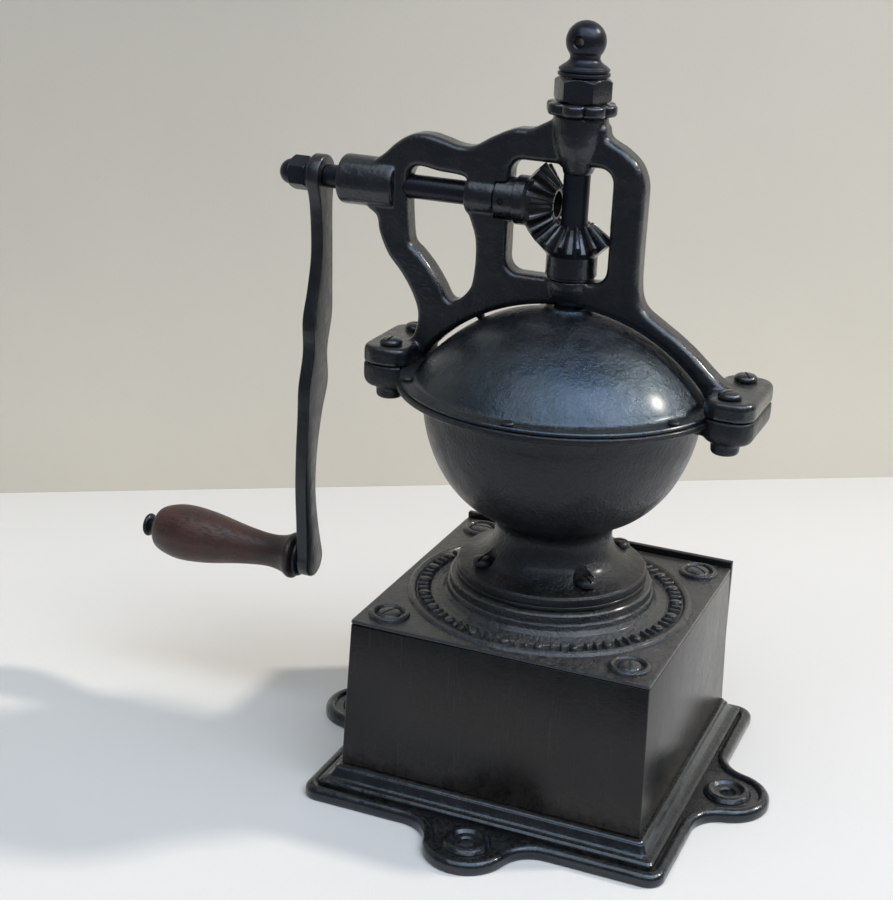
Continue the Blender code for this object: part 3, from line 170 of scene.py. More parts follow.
def sector(profile, start_deg, end_deg, segments):
    rows = []
    for i in range(segments + 1):
        t = math.radians(start_deg + (end_deg - start_deg) * i / segments)
        rows.append([(r * math.cos(t), r * math.sin(t), z) for r, z in profile])
    return loft(rows)


def eased(points, radius, steps=3, closed=False):
    """Round the corners of a polyline with small arcs, so that every edge catches the light."""
    made = []
    count = len(points)
    for i, point in enumerate(points):
        here = Vector(point)
        if not closed and i in (0, count - 1):
            made.append(tuple(here))
            continue
        before = Vector(points[i - 1]) - here
        after = Vector(points[(i + 1) % count]) - here
        bend = before.angle(after, math.pi)
        if bend > math.radians(168):
            made.append(tuple(here))
            continue
        reach = min(radius / max(math.tan(bend / 2), 0.05), before.length * 0.45, after.length * 0.45)
        start = here + before.normalized() * reach
        end = here + after.normalized() * reach
        for k in range(steps + 1):
            t = k / steps
            made.append(tuple((1 - t) ** 2 * start + 2 * t * (1 - t) * here + t ** 2 * end))
    return made


def rounded(points, radius, segments=MEDIUM, closed=False):
    """A turned piece with eased corners."""
    return turned(eased(points, radius, closed=closed), segments, closed)


def spline(points, per_span, closed=False):
    """A Catmull-Rom curve through points."""
    count = len(points)
    spans = count if closed else count - 1
    made = []
    for i in range(spans):
        picks = [(i + k - 1) % count if closed else min(max(i + k - 1, 0), count - 1) for k in range(4)]
        p0, p1, p2, p3 = (Vector(points[k]) for k in picks)
        for k in range(per_span):
            t = k / per_span
            made.append(0.5 * (2 * p1 + (p2 - p0) * t + (2 * p0 - 5 * p1 + 4 * p2 - p3) * t * t
                               + (3 * p1 - p0 - 3 * p2 + p3) * t ** 3))
    if not closed:
        made.append(Vector(points[-1]))
    return made


def curve(points, per_span):
    return [tuple(p) for p in spline(points, per_span)]


def shifted(points, distance):
    """A closed loop moved to the left of its own direction."""
    made = []
    for i, point in enumerate(points):
        before = (point - points[i - 1]).normalized()
        after = (points[(i + 1) % len(points)] - point).normalized()
        tangent = (before + after).normalized()
        made.append(point + Vector((-tangent.y, tangent.x)) * distance)
    return made


def arc(cx, cy, radius, start_deg, end_deg, steps):
    turns = [math.radians(start_deg + (end_deg - start_deg) * i / steps) for i in range(steps + 1)]
    return [(cx + radius * math.cos(t), cy + radius * math.sin(t)) for t in turns]


def rounded_rectangle(half_x, half_y, corner, steps=8, centre=(0, 0)):
    points = []
    for quarter, (sx, sy) in enumerate(((1, 1), (-1, 1), (-1, -1), (1, -1))):
        points += arc(centre[0] + sx * (half_x - corner), centre[1] + sy * (half_y - corner), corner,
                      90 * quarter, 90 * quarter + 90, steps)
    return points


def at(points, height):
    return [(p[0], p[1], height) for p in points]


def moved(bm, x=0, y=0, z=0):
    bmesh.ops.translate(bm, vec=(x, y, z), verts=bm.verts)
    return bm


def rotated(bm, degrees, axis):
    bmesh.ops.rotate(bm, matrix=Matrix.Rotation(math.radians(degrees), 3, axis), verts=bm.verts)
    return bm


def along_x(bm, x=0, y=0, z=0):
    return moved(rotated(bm, 90, "Y"), x, y, z)


def along_y(bm, x=0, y=0, z=0):
    return moved(rotated(bm, 90, "X"), x, y, z)


def block(low, high):
    bm = bmesh.new()
    bmesh.ops.create_cube(bm, size=1)
    size = Vector(high) - Vector(low)
    bmesh.ops.scale(bm, vec=size, verts=bm.verts)
    return moved(bm, *((Vector(high) + Vector(low)) / 2))


def put_in_scene(name, data):
    made = bpy.data.objects.new(name, data)
    bpy.context.scene.collection.objects.link(made)
    return made


def solid(bm, name):
    """Make an object in metres from a millimetre bmesh."""
    bmesh.ops.remove_doubles(bm, verts=bm.verts, dist=1e-4)
    bmesh.ops.recalc_face_normals(bm, faces=bm.faces)
    bmesh.ops.scale(bm, vec=(MM, MM, MM), verts=bm.verts)
    mesh = bpy.data.meshes.new(name)
    bm.to_mesh(mesh)
    bm.free()
    return put_in_scene(name, mesh)


def merged(meshes):
    """One bmesh that holds several."""
    whole = bmesh.new()
    for bm in meshes:
        bmesh.ops.recalc_face_normals(bm, faces=bm.faces)
        part = bpy.data.meshes.new("part")
        bm.to_mesh(part)
        bm.free()
        whole.from_mesh(part)
        bpy.data.meshes.remove(part)
    return whole


def bake_modifiers(piece):
    bpy.context.view_layer.update()
    graph = bpy.context.evaluated_depsgraph_get()
    mesh = bpy.data.meshes.new_from_object(piece.evaluated_get(graph))
    piece.modifiers.clear()
    piece.data = mesh
    return piece


def combine(piece, tools, operation):
    for tool in tools:
        step = piece.modifiers.new("step", "BOOLEAN")
        step.operation = operation
        step.solver = "EXACT"
        step.object = tool
        bake_modifiers(piece)
        bpy.data.objects.remove(tool, do_unlink=True)
    return piece


def cut(piece, *tools):
    return combine(piece, [solid(tool, "cutter") for tool in tools], "DIFFERENCE")


def join(piece, *tools):
    return combine(piece, [solid(tool, "addition") for tool in tools], "UNION")


def soften(piece, width, segments=2, angle=35):
    """Bevel the sharp edges a little."""
    bevel = piece.modifiers.new("edge", "BEVEL")
    bevel.width = width * MM
    bevel.segments = segments
    bevel.limit_method = "ANGLE"
    bevel.angle_limit = math.radians(angle)
    return bake_modifiers(piece)


def cast_together(name, meshes, voxel, rounds):
    """Melt overlapping solids into one skin with soft inner corners, as a casting has."""
    piece = solid(merged(meshes), name)
    remesh = piece.modifiers.new("skin", "REMESH")
    remesh.mode = "VOXEL"
    remesh.voxel_size = voxel * MM
    relax = piece.modifiers.new("relax", "SMOOTH")
    relax.factor = 0.5
    relax.iterations = rounds
    return bake_modifiers(piece)


def dress(piece, body, material, replaces=(), sharp=32):
    """Give a piece its material, its body and the CAD nodes that it stands for."""
    piece.data.materials.clear()
    piece.data.materials.append(material)
    piece.data.shade_smooth()
    piece.data.set_sharp_from_angle(angle=math.radians(sharp))
    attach(piece, body)
    if replaces:
        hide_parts(*replaces)
    return piece


def piece_for(node, bm, body, material, sharp=32):
    """A finished piece that stands for one CAD node and carries its name."""
    return dress(solid(bm, "v_" + node), body, material, [node], sharp)


# ---- materials

class Nodes:
    """Short calls for building a node tree on object coordinates in metres."""

    def __init__(self, name):
        self.material = bpy.data.materials.new(name)
        self.material.use_nodes = True
        self.tree = self.material.node_tree
        self.shader = self.tree.nodes["Principled BSDF"]
        self.place = self.tree.nodes.new("ShaderNodeTexCoord").outputs["Object"]

    def link(self, source, target):
        self.tree.links.new(source, target)

    def put(self, socket, value):
        if isinstance(value, bpy.types.NodeSocket):
            self.link(value, socket)
        else:
            socket.default_value = value

    def node(self, kind, **values):
        """A new node. Each value goes to the input of its name, with _ for a space."""
        made = self.tree.nodes.new("ShaderNode" + kind)
        for name, value in values.items():
            self.put(made.inputs[name.replace("_", " ")], value)
        return made

    def noise(self, scale, detail=4, roughness=0.55, place=None, distortion=0.0):
        node = self.node("TexNoise", Scale=scale, Detail=detail, Roughness=roughness, Distortion=distortion,
                         Vector=place or self.place)
        return node.outputs["Fac"]

    def cells(self, scale):
        return self.node("TexVoronoi", Scale=scale, Vector=self.place).outputs["Distance"]

    def stretched(self, scale, turn=(0, 0, 0)):
        return self.node("Mapping", Scale=scale, Rotation=turn, Vector=self.place).outputs["Vector"]

    def ramp(self, value, low, high, to_low=0.0, to_high=1.0):
        node = self.node("MapRange", From_Min=low, From_Max=high, To_Min=to_low, To_Max=to_high,
                         Value=value)
        return node.outputs["Result"]

    def math(self, operation, a, b):
        node = self.node("Math")
        node.operation = operation
        self.put(node.inputs[0], a)
        self.put(node.inputs[1], b)
        return node.outputs["Value"]

    def times(self, a, b):
        return self.math("MULTIPLY", a, b)

    def plus(self, a, b):
        return self.math("ADD", a, b)

    def mix(self, factor, a, b):
        node = self.node("Mix")
        node.data_type = "RGBA"
        self.put(node.inputs["Factor"], factor)
        self.put(node.inputs["A"], a)
        self.put(node.inputs["B"], b)
        return node.outputs["Result"]

    def geometry(self, output):
        return self.node("NewGeometry").outputs[output]

    def upward(self):
        """How far the surface faces up, from -1 to 1."""
        return self.node("SeparateXYZ", Vector=self.geometry("Normal")).outputs["Z"]

    def front_side(self):
        """1 on a face's front and 0 on its back."""
        return self.math("SUBTRACT", 1.0, self.geometry("Backfacing"))

    def crevice(self, distance):
        """1 in a tight corner and 0 in the open."""
        node = self.node("AmbientOcclusion", Distance=distance)
        node.samples = 4
        return self.math("SUBTRACT", 1.0, node.outputs["AO"])

    def worn_edge(self, low, high):
        return self.ramp(self.geometry("Pointiness"), low, high)

    def axis(self, name):
        return self.node("SeparateXYZ", Vector=self.place).outputs[name]

    def bump(self, *layers):
        """Stack (height, distance in metres) layers into one normal."""
        normal = None
        for height, distance in layers:
            node = self.node("Bump", Strength=1.0, Distance=distance, Height=height)
            if normal is not None:
                self.link(normal, node.inputs["Normal"])
            normal = node.outputs["Normal"]
        self.link(normal, self.shader.inputs["Normal"])

    def finish(self, colour, roughness, **constants):
        self.put(self.shader.inputs["Base Color"], colour)
        self.put(self.shader.inputs["Roughness"], roughness)
        for name, value in constants.items():
            self.shader.inputs[name.replace("_", " ")].default_value = value
        return self.material


DUST = (0.12, 0.095, 0.07, 1)
RUST = (0.14, 0.045, 0.014, 1)


def blackened_iron(name, rough=0.34, grain=1.0, dust=0.35, rust=0.0, speckle=0.0, ledge_dust=0.5,
                   gloss=0.55, coat=0.35, coat_rough=0.17, tint=(0.82, 0.9, 1.0, 1)):
    """Black finished casting: sandy skin, cloudy gloss, brown dust in corners and on ledges."""
    n = Nodes(name)
    cloud = n.noise(28, 5)
    sand = n.noise(1450, 3, 0.65)
    pebble = n.noise(560, 3, 0.55)
    swell = n.noise(75, 3, 0.5)
    pits = n.ramp(n.cells(520), 0.0, 0.22)
    patch = n.ramp(n.noise(95, 6, 0.65), 0.42, 0.72)
    base = n.mix(cloud, (0.0018, 0.0022, 0.0036, 1), (0.0052, 0.0055, 0.0068, 1))
    base = n.mix(n.times(patch, 0.25), base, (0.02, 0.019, 0.018, 1))
    corner = n.ramp(n.crevice(0.006), 0.25, 0.8)
    dusty = n.times(corner, n.ramp(n.noise(210, 6, 0.7), 0.38, 0.66))
    ledge = n.times(n.ramp(n.upward(), 0.86, 1.0), n.ramp(n.noise(420, 5, 0.75), 0.42, 0.64))
    dusty = n.times(n.math("MAXIMUM", dusty, n.times(ledge, ledge_dust)), dust)
    base = n.mix(dusty, base, DUST)
    if speckle:
        band = n.times(n.ramp(n.upward(), 0.55, 0.95), n.ramp(n.noise(24, 4, 0.6), 0.42, 0.62))
        fine = n.times(band, n.ramp(n.noise(1150, 4, 0.75), 0.5, 0.66))
        base = n.mix(n.times(fine, speckle), base, (0.12, 0.125, 0.135, 1))
    if rust:
        spots = n.times(n.ramp(n.noise(60, 6, 0.7), 0.66, 0.76), rust)
        base = n.mix(n.times(spots, corner), base, RUST)
    base = n.mix(n.times(n.worn_edge(0.56, 0.66), 0.25), base, (0.05, 0.052, 0.056, 1))
    shine = n.ramp(n.plus(n.times(cloud, 0.6), n.times(patch, 0.5)),
                   0.15, 0.85, rough - 0.08, rough + 0.12)
    shine = n.plus(shine, n.times(dusty, 0.5))
    n.bump((swell, 0.0012), (pebble, 0.0003 * grain), (pits, 0.00007 * grain), (sand, 0.00016 * grain))
    return n.finish(base, shine, Specular_IOR_Level=gloss, Specular_Tint=tint,
                    Coat_Weight=coat, Coat_Roughness=coat_rough, Coat_IOR=1.45)


def blackened_steel(name, axis_scale=(60, 60, 900)):
    """Turned and blackened steel with fine tool marks round it and a blue cast."""
    n = Nodes(name)
    cloud = n.noise(45, 5)
    marks = n.noise(1.0, 4, 0.6, place=n.stretched(axis_scale))
    base = n.mix(cloud, (0.008, 0.010, 0.016, 1), (0.028, 0.032, 0.042, 1))
    dusty = n.times(n.ramp(n.crevice(0.004), 0.3, 0.85), n.ramp(n.noise(260, 5, 0.7), 0.4, 0.7))
    base = n.mix(n.times(dusty, 0.3), base, DUST)
    shine = n.ramp(n.plus(cloud, n.times(marks, 0.5)), 0.4, 1.1, 0.21, 0.39)
    n.bump((marks, 0.00003), (n.noise(900, 3), 0.00005))
    return n.finish(base, shine, Metallic=0.6, Specular_IOR_Level=0.5)


def bare_steel(name):
    """Machined steel darkened by oil and coffee."""
    n = Nodes(name)
    stain = n.ramp(n.noise(130, 6, 0.65), 0.35, 0.7)
    base = n.mix(stain, (0.36, 0.35, 0.34, 1), (0.1, 0.075, 0.055, 1))
    n.bump((n.noise(700, 4), 0.00005))
    return n.finish(base, n.ramp(stain, 0, 1, 0.3, 0.55), Metallic=0.9)


def sheet_metal(name):
    """Dark sheet with cloudy stains, dry dust, fine scratches and a soft buckle."""
    n = Nodes(name)
    streak = n.noise(1.0, 5, 0.65, place=n.stretched((60, 60, 16), (0.35, 0.25, 0.0)))
    cloud = n.noise(19, 7, 0.62)
    mottle = n.noise(160, 6, 0.7)
    scratch = n.ramp(n.noise(1.0, 2, 0.5, place=n.stretched((900, 900, 30), (0.5, 0.3, 0.2))), 0.64, 0.7)
    speck = n.ramp(n.noise(800, 3, 0.7), 0.6, 0.74)
    stain = n.ramp(n.plus(n.plus(cloud, n.times(streak, 0.4)),
                          n.times(mottle, 0.5)), 0.75, 1.15)
    base = n.mix(stain, (0.0028, 0.003, 0.004, 1), (0.0105, 0.010, 0.0094, 1))
    base = n.mix(n.times(scratch, 0.1), base, (0.07, 0.07, 0.07, 1))
    base = n.mix(n.times(speck, 0.12), base, DUST)
    low = n.ramp(n.axis("Z"), 0.016, 0.036, 0.6, 0.0)
    base = n.mix(n.times(low, n.ramp(mottle, 0.35, 0.65)), base, (0.045, 0.036, 0.028, 1))
    shine = n.ramp(stain, 0.0, 1.0, 0.14, 0.27)
    n.bump((n.noise(9, 2), 0.0012), (mottle, 0.00016), (n.noise(1300, 3, 0.6), 0.00009))
    return n.finish(base, shine, Specular_IOR_Level=0.34)


def turned_wood(name):
    """Dark reddish wood: long grain, open pores, fine lathe rings and an end that darkens towards the
    crank.
    """
    n = Nodes(name)
    long_grain = n.noise(1.0, 6, 0.6, place=n.stretched((30, 330, 330)), distortion=0.6)
    pores = n.ramp(n.noise(1.0, 3, 0.6, place=n.stretched((170, 1500, 1500))), 0.54, 0.64)
    rings = n.noise(1.0, 3, 0.6, place=n.stretched((1300, 45, 45)))
    ring_lines = n.ramp(rings, 0.55, 0.68)
    base = n.mix(n.ramp(long_grain, 0.3, 0.72), (0.022, 0.0075, 0.006, 1), (0.07, 0.024, 0.017, 1))
    patch = n.ramp(n.noise(38, 5, 0.6), 0.42, 0.72)
    base = n.mix(n.times(patch, 0.5), base, (0.105, 0.037, 0.024, 1))
    base = n.mix(n.times(pores, 0.7), base, (0.007, 0.003, 0.003, 1))
    base = n.mix(n.times(ring_lines, 0.25), base, (0.1, 0.065, 0.055, 1))
    along = n.plus(n.axis("X"), n.times(n.noise(70, 5, 0.7), 0.03))
    # Darker towards the crank end of the grip.
    darker_towards_crank = n.ramp(along, 0.17, 0.2, 0.8, 0.0)
    base = n.mix(darker_towards_crank, base, (0.008, 0.0055, 0.0055, 1))
    shine = n.ramp(n.plus(long_grain, patch), 0.3, 1.4, 0.34, 0.56)
    n.bump((long_grain, 0.0002), (pores, -0.00018), (rings, 0.00012))
    return n.finish(base, shine, Specular_IOR_Level=0.5, Coat_Weight=0.15, Coat_Roughness=0.3)


def paper_white(name, colour, grain):
    n = Nodes(name)
    tone = n.noise(2.2, 4, 0.6)
    base = n.mix(n.ramp(tone, 0.3, 0.7), colour, tuple(c * 0.97 for c in colour[:3]) + (1,))
    n.bump((n.noise(grain, 3), 0.0001))
    return n.finish(base, 0.9, Specular_IOR_Level=0.15)


IRON = blackened_iron("iron_body")
IRON_TOP = blackened_iron("iron_top_plate", rough=0.3, grain=2.6, dust=0.8, ledge_dust=0.6, gloss=0.8,
                          coat=0.5)
IRON_BASE = blackened_iron("iron_base", rough=0.24, grain=0.6, dust=0.4, rust=0.8, coat=0.5,
                           coat_rough=0.12, tint=(0.7, 0.85, 1.0, 1))
IRON_BOWL = blackened_iron("iron_bowl", rough=0.33, grain=1.7, dust=0.25, gloss=0.42, coat=0.18)
IRON_LID = blackened_iron("iron_lid", rough=0.29, grain=1.1, dust=0.3, speckle=0.6, gloss=0.75, coat=0.35,
                          coat_rough=0.2, tint=(0.55, 0.78, 1.0, 1))
IRON_YOKE = blackened_iron("iron_yoke", rough=0.27, grain=0.9, dust=0.12, coat=0.5, coat_rough=0.12)
IRON_GEAR = blackened_iron("iron_gear", rough=0.26, grain=0.4, dust=0.35, coat=0.5, coat_rough=0.12)
IRON_ARM = blackened_iron("iron_arm", rough=0.36, grain=0.35, dust=0.1)
STEEL_Z = blackened_steel("steel_upright")
STEEL_X = blackened_steel("steel_along_x", axis_scale=(900, 60, 60))
BARE = bare_steel("bare_steel")
SHEET = sheet_metal("sheet_metal")
WOOD = turned_wood("turned_wood")


# ---- box and base

def base_outline(inset):
    half = BASE_HALF - inset
    corner = max(9 - inset * 0.6, 1.5)
    ear = EAR_R - inset
    fillet = 18 + inset
    fillet_x = math.sqrt((ear + fillet) ** 2 - (half + fillet - EAR_CENTRE) ** 2)
    lean = math.degrees(math.atan2(half + fillet - EAR_CENTRE, fillet_x))
    points = []
    for side in range(4):
        run = arc(half - corner, half - corner, corner, 0, 90, 8)
        run += arc(fillet_x, half + fillet, fillet, 270, 180 + lean, 8)
        run += arc(0, EAR_CENTRE, ear, lean, 180 - lean, 24)[1:-1]
        run += arc(-fillet_x, half + fillet, fillet, -lean, -90, 8)
        c, s = math.cos(math.radians(90 * side)), math.sin(math.radians(90 * side))
        points += [(x * c - y * s, x * s + y * c) for x, y in run]
    return points


def ear_places():
    return [(EAR_CENTRE, 0), (0, EAR_CENTRE), (-EAR_CENTRE, 0), (0, -EAR_CENTRE)]


def corner_places():
    return [(CORNER_XY * sx, CORNER_XY * sy) for sx, sy in ((1, 1), (-1, 1), (-1, -1), (1, -1))]


def make_base():
    rim = [(0.5, 0), (0.1, 0.5), (0, 1.4), (0, 3.6), (0.25, 4.6), (0.9, 5.6), (1.9, 6.4), (3.0, 6.8),
           (4.1, 6.7), (5.0, 6.1), (5.6, 5.3), (5.9, 4.7), (6.6, 4.5)]
    base = solid(loft([at(base_outline(i), z) for i, z in rim]), "v_base_plate")
    mould = eased([(91.8, 3.4), (91.8, 8.0), (90.6, 9.2), (88.4, 9.4), (87.2, 10.2), (85.8, 12.6),
                   (85.2, 14.2), (84.4, 14.6), (83.8, 15.2), (83.6, BASE_TOP)], 0.7)
    join(base, loft([at(rounded_rectangle(s, s, 2.6, 6), z) for s, z in mould]))
    pocket = loft([at(rounded_rectangle(76, 76, 6), z) for z in (4, BASE_TOP + 1)])
    cut(base, pocket)
    for x, y in ear_places():
        ring = rounded([(0, 2), (13.2, 2), (12.6, 5.2), (11.2, 6.9), (9.8, 7.6), (8.6, 7.3), (7.2, 5.9),
                        (4.6, 5.5), (3.9, 4.6), (0, 4.6)], 0.5)
        join(base, moved(ring, x, y))
    cut(base, *[moved(rod(3.9, -1, 9, SMALL), x, y) for x, y in ear_places()])
    dress(base, "housing", IRON_BASE, ["base_plate"], sharp=38)


def make_walls():
    """Back and side walls folded from one sheet, open towards the drawer."""
    thick = 2.5
    ends = ((cad_box("wall_wrap")[1].x, WALL_LOW), (TOP_HALF - 0.2, WALL_HIGH))

    def section(side_x, side_y, is_end):
        made = []
        for (half, z), inset in ((ends[0], 0), (ends[0], thick), (ends[1], thick), (ends[1], 0)):
            depth = half if is_end else half - inset
            made.append((side_x * (half - inset), side_y * depth, z))
        return made

    folds = [section(1, -1, True), section(1, 1, False), section(-1, 1, False), section(-1, -1, True)]
    walls = solid(loft(folds), "v_walls")
    dress(soften(walls, 0.7, 3), "housing", SHEET, ["wall_wrap"])


def ornament():
    """Raised ovals and paired bars, in turn, round the pedestal."""
    oval = [(3.3, 2.5, 98.4), (3.3, 2.5, 100.4), (3.0, 2.2, 101.2), (2.1, 1.4, 101.6), (0.9, 0.5, 101.7)]
    bar = [(3.3, 0.95, 98.4), (3.3, 0.95, 100.4), (3.1, 0.75, 101.2), (2.6, 0.35, 101.5)]
    made = []
    for i in range(BAND_UNITS):
        turn = 360 * i / BAND_UNITS
        for levels, along in ((oval, 0), (bar, 0.32), (bar, 0.56)):
            loops = [at([(x * a, y * b) for x, y in arc(0, 0, 1, 0, 342, 19)], z) for a, b, z in levels]
            made.append(rotated(moved(loft(loops), BAND_R), turn + along * 360 / BAND_UNITS * 1.15, "Z"))
    return made


def make_top_plate():
    edge = BOX_TOP - 2
    slab = [at(rounded_rectangle(h, h, 1.4, 4), z) for h, z in
            ((TOP_HALF - 0.5, edge), (TOP_HALF, edge + 0.4), (TOP_HALF, BOX_TOP - 0.6),
             (TOP_HALF - 0.25, BOX_TOP - 0.15), (TOP_HALF - 0.8, BOX_TOP))]
    plate = solid(loft(slab), "v_top_plate")
    join(plate, loft([at(rounded_rectangle(76.4, 76.4, 2), z) for z in (BOX_TOP - 5, edge + 0.6)]))
    pedestal = rounded([(0, 95.5), (61, 95.5), (64.2, 98.9), (60.5, 99.5), (57.4, 100.8), (55.6, 103),
                        (55, 105.6), (54.2, 106), (54, 107), (54, 110), (53, PEDESTAL_TOP),
                        (0, PEDESTAL_TOP)], 0.6, FINE)
    ridge = rounded([(71.2, 98), (71.6, 99.2), (72.6, 100.4), (74.1, 101.1), (75.6, 100.4), (76.6, 99.2),
                     (77, 98)], 0.5, FINE, closed=True)
    inner = rounded([(62.6, 98), (62.8, 99.1), (63.6, 99.7), (64.4, 99.1), (64.6, 98)], 0.3, FINE,
                    closed=True)
    join(plate, pedestal, ridge, inner)
    for x, y in corner_places():
        ring = rounded([(7.4, 98), (7.5, 100.2), (8.3, 101.1), (9.4, 101.3), (10.5, 100.6), (11.2, 98)],
                       0.5, closed=True)
        join(plate, moved(ring, x, y))
    holes = [turned([(0, 90), (26, 90), (26, 107.7), (30, 107.7), (30, 113), (0, 113)], FINE)]
    holes += [moved(rod(3.3, 90, 102, SMALL), x, y) for x, y in corner_places()]
    cut(plate, *holes)
    dress(plate, "housing", IRON_TOP, ["top_plate"])
    dress(solid(merged(ornament()), "v_top_ornament"), "housing", IRON_TOP, sharp=50)


def screw_body(head_r, head_h, shank_r, length):
    crown = [(head_r, 0.35)] + [(head_r * r, head_h * h) for r, h in
                                ((1, 0.32), (0.93, 0.56), (0.78, 0.79), (0.55, 0.93), (0.28, 0.99), (0, 1))]
    return turned([(0, -length), (shank_r, -length), (shank_r, 0), (head_r - 0.35, 0)] + crown, SMALL)


def make_screws(prefix, places, seat, head_r, head_h, shank_r, length, slot_depth, first_turn, step_turn,
                material):
    """Domed slotted screws, each turned its own way."""
    for number, (x, y) in enumerate(places, 1):
        node = f"{prefix}_{number}"
        screw = solid(moved(screw_body(head_r, head_h, shank_r, length), x, y, seat), "v_" + node)
        top = seat + head_h
        blade = block((-head_r * 1.3, -0.55, top - slot_depth), (head_r * 1.3, 0.55, top + 1))
        cut(screw, moved(rotated(blade, first_turn + step_turn * number, "Z"), x, y))
        dress(soften(screw, 0.12, 1, 50), "housing", material, [node])


def make_drawer():
    low, high = cad_box("drawer_front")
    inner_low, inner_high = 82.7, 80.5

    def ring(inner, z):
        outer = inner + 3.5
        return at([(80, -inner), (-80, -inner), (-80, -outer), (80, -outer)], z)

    front = solid(loft([ring(inner_low, low.z), ring(inner_high, high.z)]), "v_drawer_front")
    panel = loft([at([(68, -78), (-68, -78), (-68, y), (68, y)], z) for y, z in ((-86.8, 26), (-84.9, 92))])
    frame_cut = loft([at([(64, -90), (-64, -90), (-64, y), (64, y)], z) for y,
                      z in ((-85.9, 30), (-84.1, 88))])
    join(front, panel)
    cut(front, frame_cut)
    cut(front, along_y(rod(2.3, -9, 9, SMALL), 0, -84, PULL_Z))
    dress(soften(front, 0.5, 3), "drawer", SHEET, ["drawer_front"])
    outline = [(0, 0), (2, 0), (2, 5.2), (6.2, 5.2)] + curve(
        [(6.4, 5.6), (6.2, 6.6), (4.2, 7.8), (3.5, 9.6), (3.6, 12), (5.4, 14.4), (7.4, 16.4), (8.2, 18.6),
         (7.6, 21), (5.6, 22.8), (3, 23.6), (0, 23.8)], 4)
    knob = along_y(turned(outline), 0, -80.3, PULL_Z)
    piece_for("drawer_pull", knob, "drawer", STEEL_X)


# ---- bowl, lid, shutter

def places_round(radius, count, first_deg):
    turns = [math.radians(first_deg + 360 / count * i) for i in range(count)]
    return [(radius * math.cos(t), radius * math.sin(t)) for t in turns]


def foot_places():
    return places_round(FOOT_SCREW_R, 4, 45)


def lug_places():
    return [(sx * LUG_X, sy * LUG_Y) for sx in (1, -1) for sy in (1, -1)]


def lug_outline(side, grow=0.0):
    half_x = 13 + grow
    return rounded_rectangle(half_x, 27 + grow, 10 + grow, 10, (side * (LUG_REACH - 13), 0))


def make_bowl():
    foot = eased([(30, 111.4), (50.2, 111.4), (50.6, 111.9), (50.6, 113.4), (50.1, 113.8), (50.6, 114.2),
                  (50.6, 117.6), (49.6, 118.9), (47.6, 119.3)], 0.5)
    flare = curve([(47.6, 119.3), (43, 120.6), (38.6, 122.9), (34.4, 126.8), (31.9, 132), (31.1, 137),
                   (31.6, 141), (34, 144.8), (39.6, 148.6), (47, 153.2), (54, 159.6), (60.4, 168),
                   (65.4, 177.6), (69, 187.4), (71.2, 197), (72.3, 206), (73.2, 210.6)], 5)
    rim = eased([(73.2, 210.6), (75.4, 212.6), (78, 213.2), (84.8, 213.5), (RIM_R, 214.3), (RIM_R, 216.4),
                 (85.4, 217), (68, 217)], 0.5)
    inside = curve([(68, 217), (68, 205), (66.2, 192), (61.6, 178), (54, 165.5), (43.5, 155.4), (32, 149.6),
                    (27, 143), (27, 127)], 5)
    end = [(30, 126.6)]
    profile = foot + flare[1:] + rim[1:] + inside[1:] + end
    bowl = solid(turned(profile, 160, closed=True), "v_hopper_bowl")
    for x, y in foot_places():
        spotface = rounded([(0, FOOT_SEAT), (6.1, FOOT_SEAT), (6.9, 124), (8.6, 136), (0, 136)], 0.6)
        cut(bowl, moved(spotface, x, y))
    dress(bowl, "housing", IRON_BOWL, ["hopper_bowl"])
    for side, name in ((1, "v_bowl_lug_crank_side"), (-1, "v_bowl_lug_far_side")):
        levels = [(-3.4, 206.8), (-2.2, 207.4), (-1, 208.6), (-0.3, 210.4), (0, 213), (0, LUG_SPLIT - 0.9),
                  (-0.25, LUG_SPLIT - 0.45), (-0.7, LUG_SPLIT - 0.3)]
        slab = loft([at(lug_outline(side, g), z) for g, z in levels])
        web = sorted((side * 71, side * 86))
        parts = [slab, block((web[0], -20, 208.4), (web[1], 20, 216.4))]
        for x, y in lug_places():
            if x * side > 0:
                boss = rounded([(0, 200.4), (5.8, 200.4), (7.1, 201.4), (7.3, 206), (8, 209.4),
                                (0, 209.4)], 0.8)
                parts.append(moved(boss, x, y))
        lug = cast_together(name, parts, 0.8, 6)
        cut(lug, rod(85.2, 216.9, 230, FINE), rod(67.5, 190, 230, FINE))
        dress(lug, "housing", IRON_BOWL)


def dome_line(radius, low_z, top_r, steps):
    start = math.asin((low_z - DOME_Z) / radius)
    end = math.acos(top_r / radius)
    turns = [start + (end - start) * i / steps for i in range(steps + 1)]
    return [(radius * math.cos(t), DOME_Z + radius * math.sin(t)) for t in turns]


def make_lid():
    low, high = LID_LOW, LID_LOW + 1.8
    outer = [(LID_R - 0.3, low), (LID_R, low + 0.3), (LID_R, high - 0.5), (LID_R - 0.5, high), (78.2, high),
             (77, high + 0.15), (75.9, high + 0.7), (75, high + 1.7)]
    outer += dome_line(DOME_R, 221.9, 14, 40)
    hub = [(12.6, 257.4), (11.4, 258.4), (8.2, 258.4), (7.6, 257.8), (7.6, 247), (9, 247), (9, 252.4)]
    inner = list(reversed(dome_line(DOME_R - 2.5, low + 1.2, 11, 30)))
    profile = outer + hub + inner + [(inner[-1][0], low)]
    lid = solid(turned(profile, 160, closed=True), "v_fixed_lid")
    window = [(17.5, 222), (78, 222), (78, 262), (17.5, 262)]
    cut(lid, sector(window, 190, 350, 80))
    dress(soften(lid, 0.3, 2, 50), "housing", IRON_LID, ["fixed_lid"])


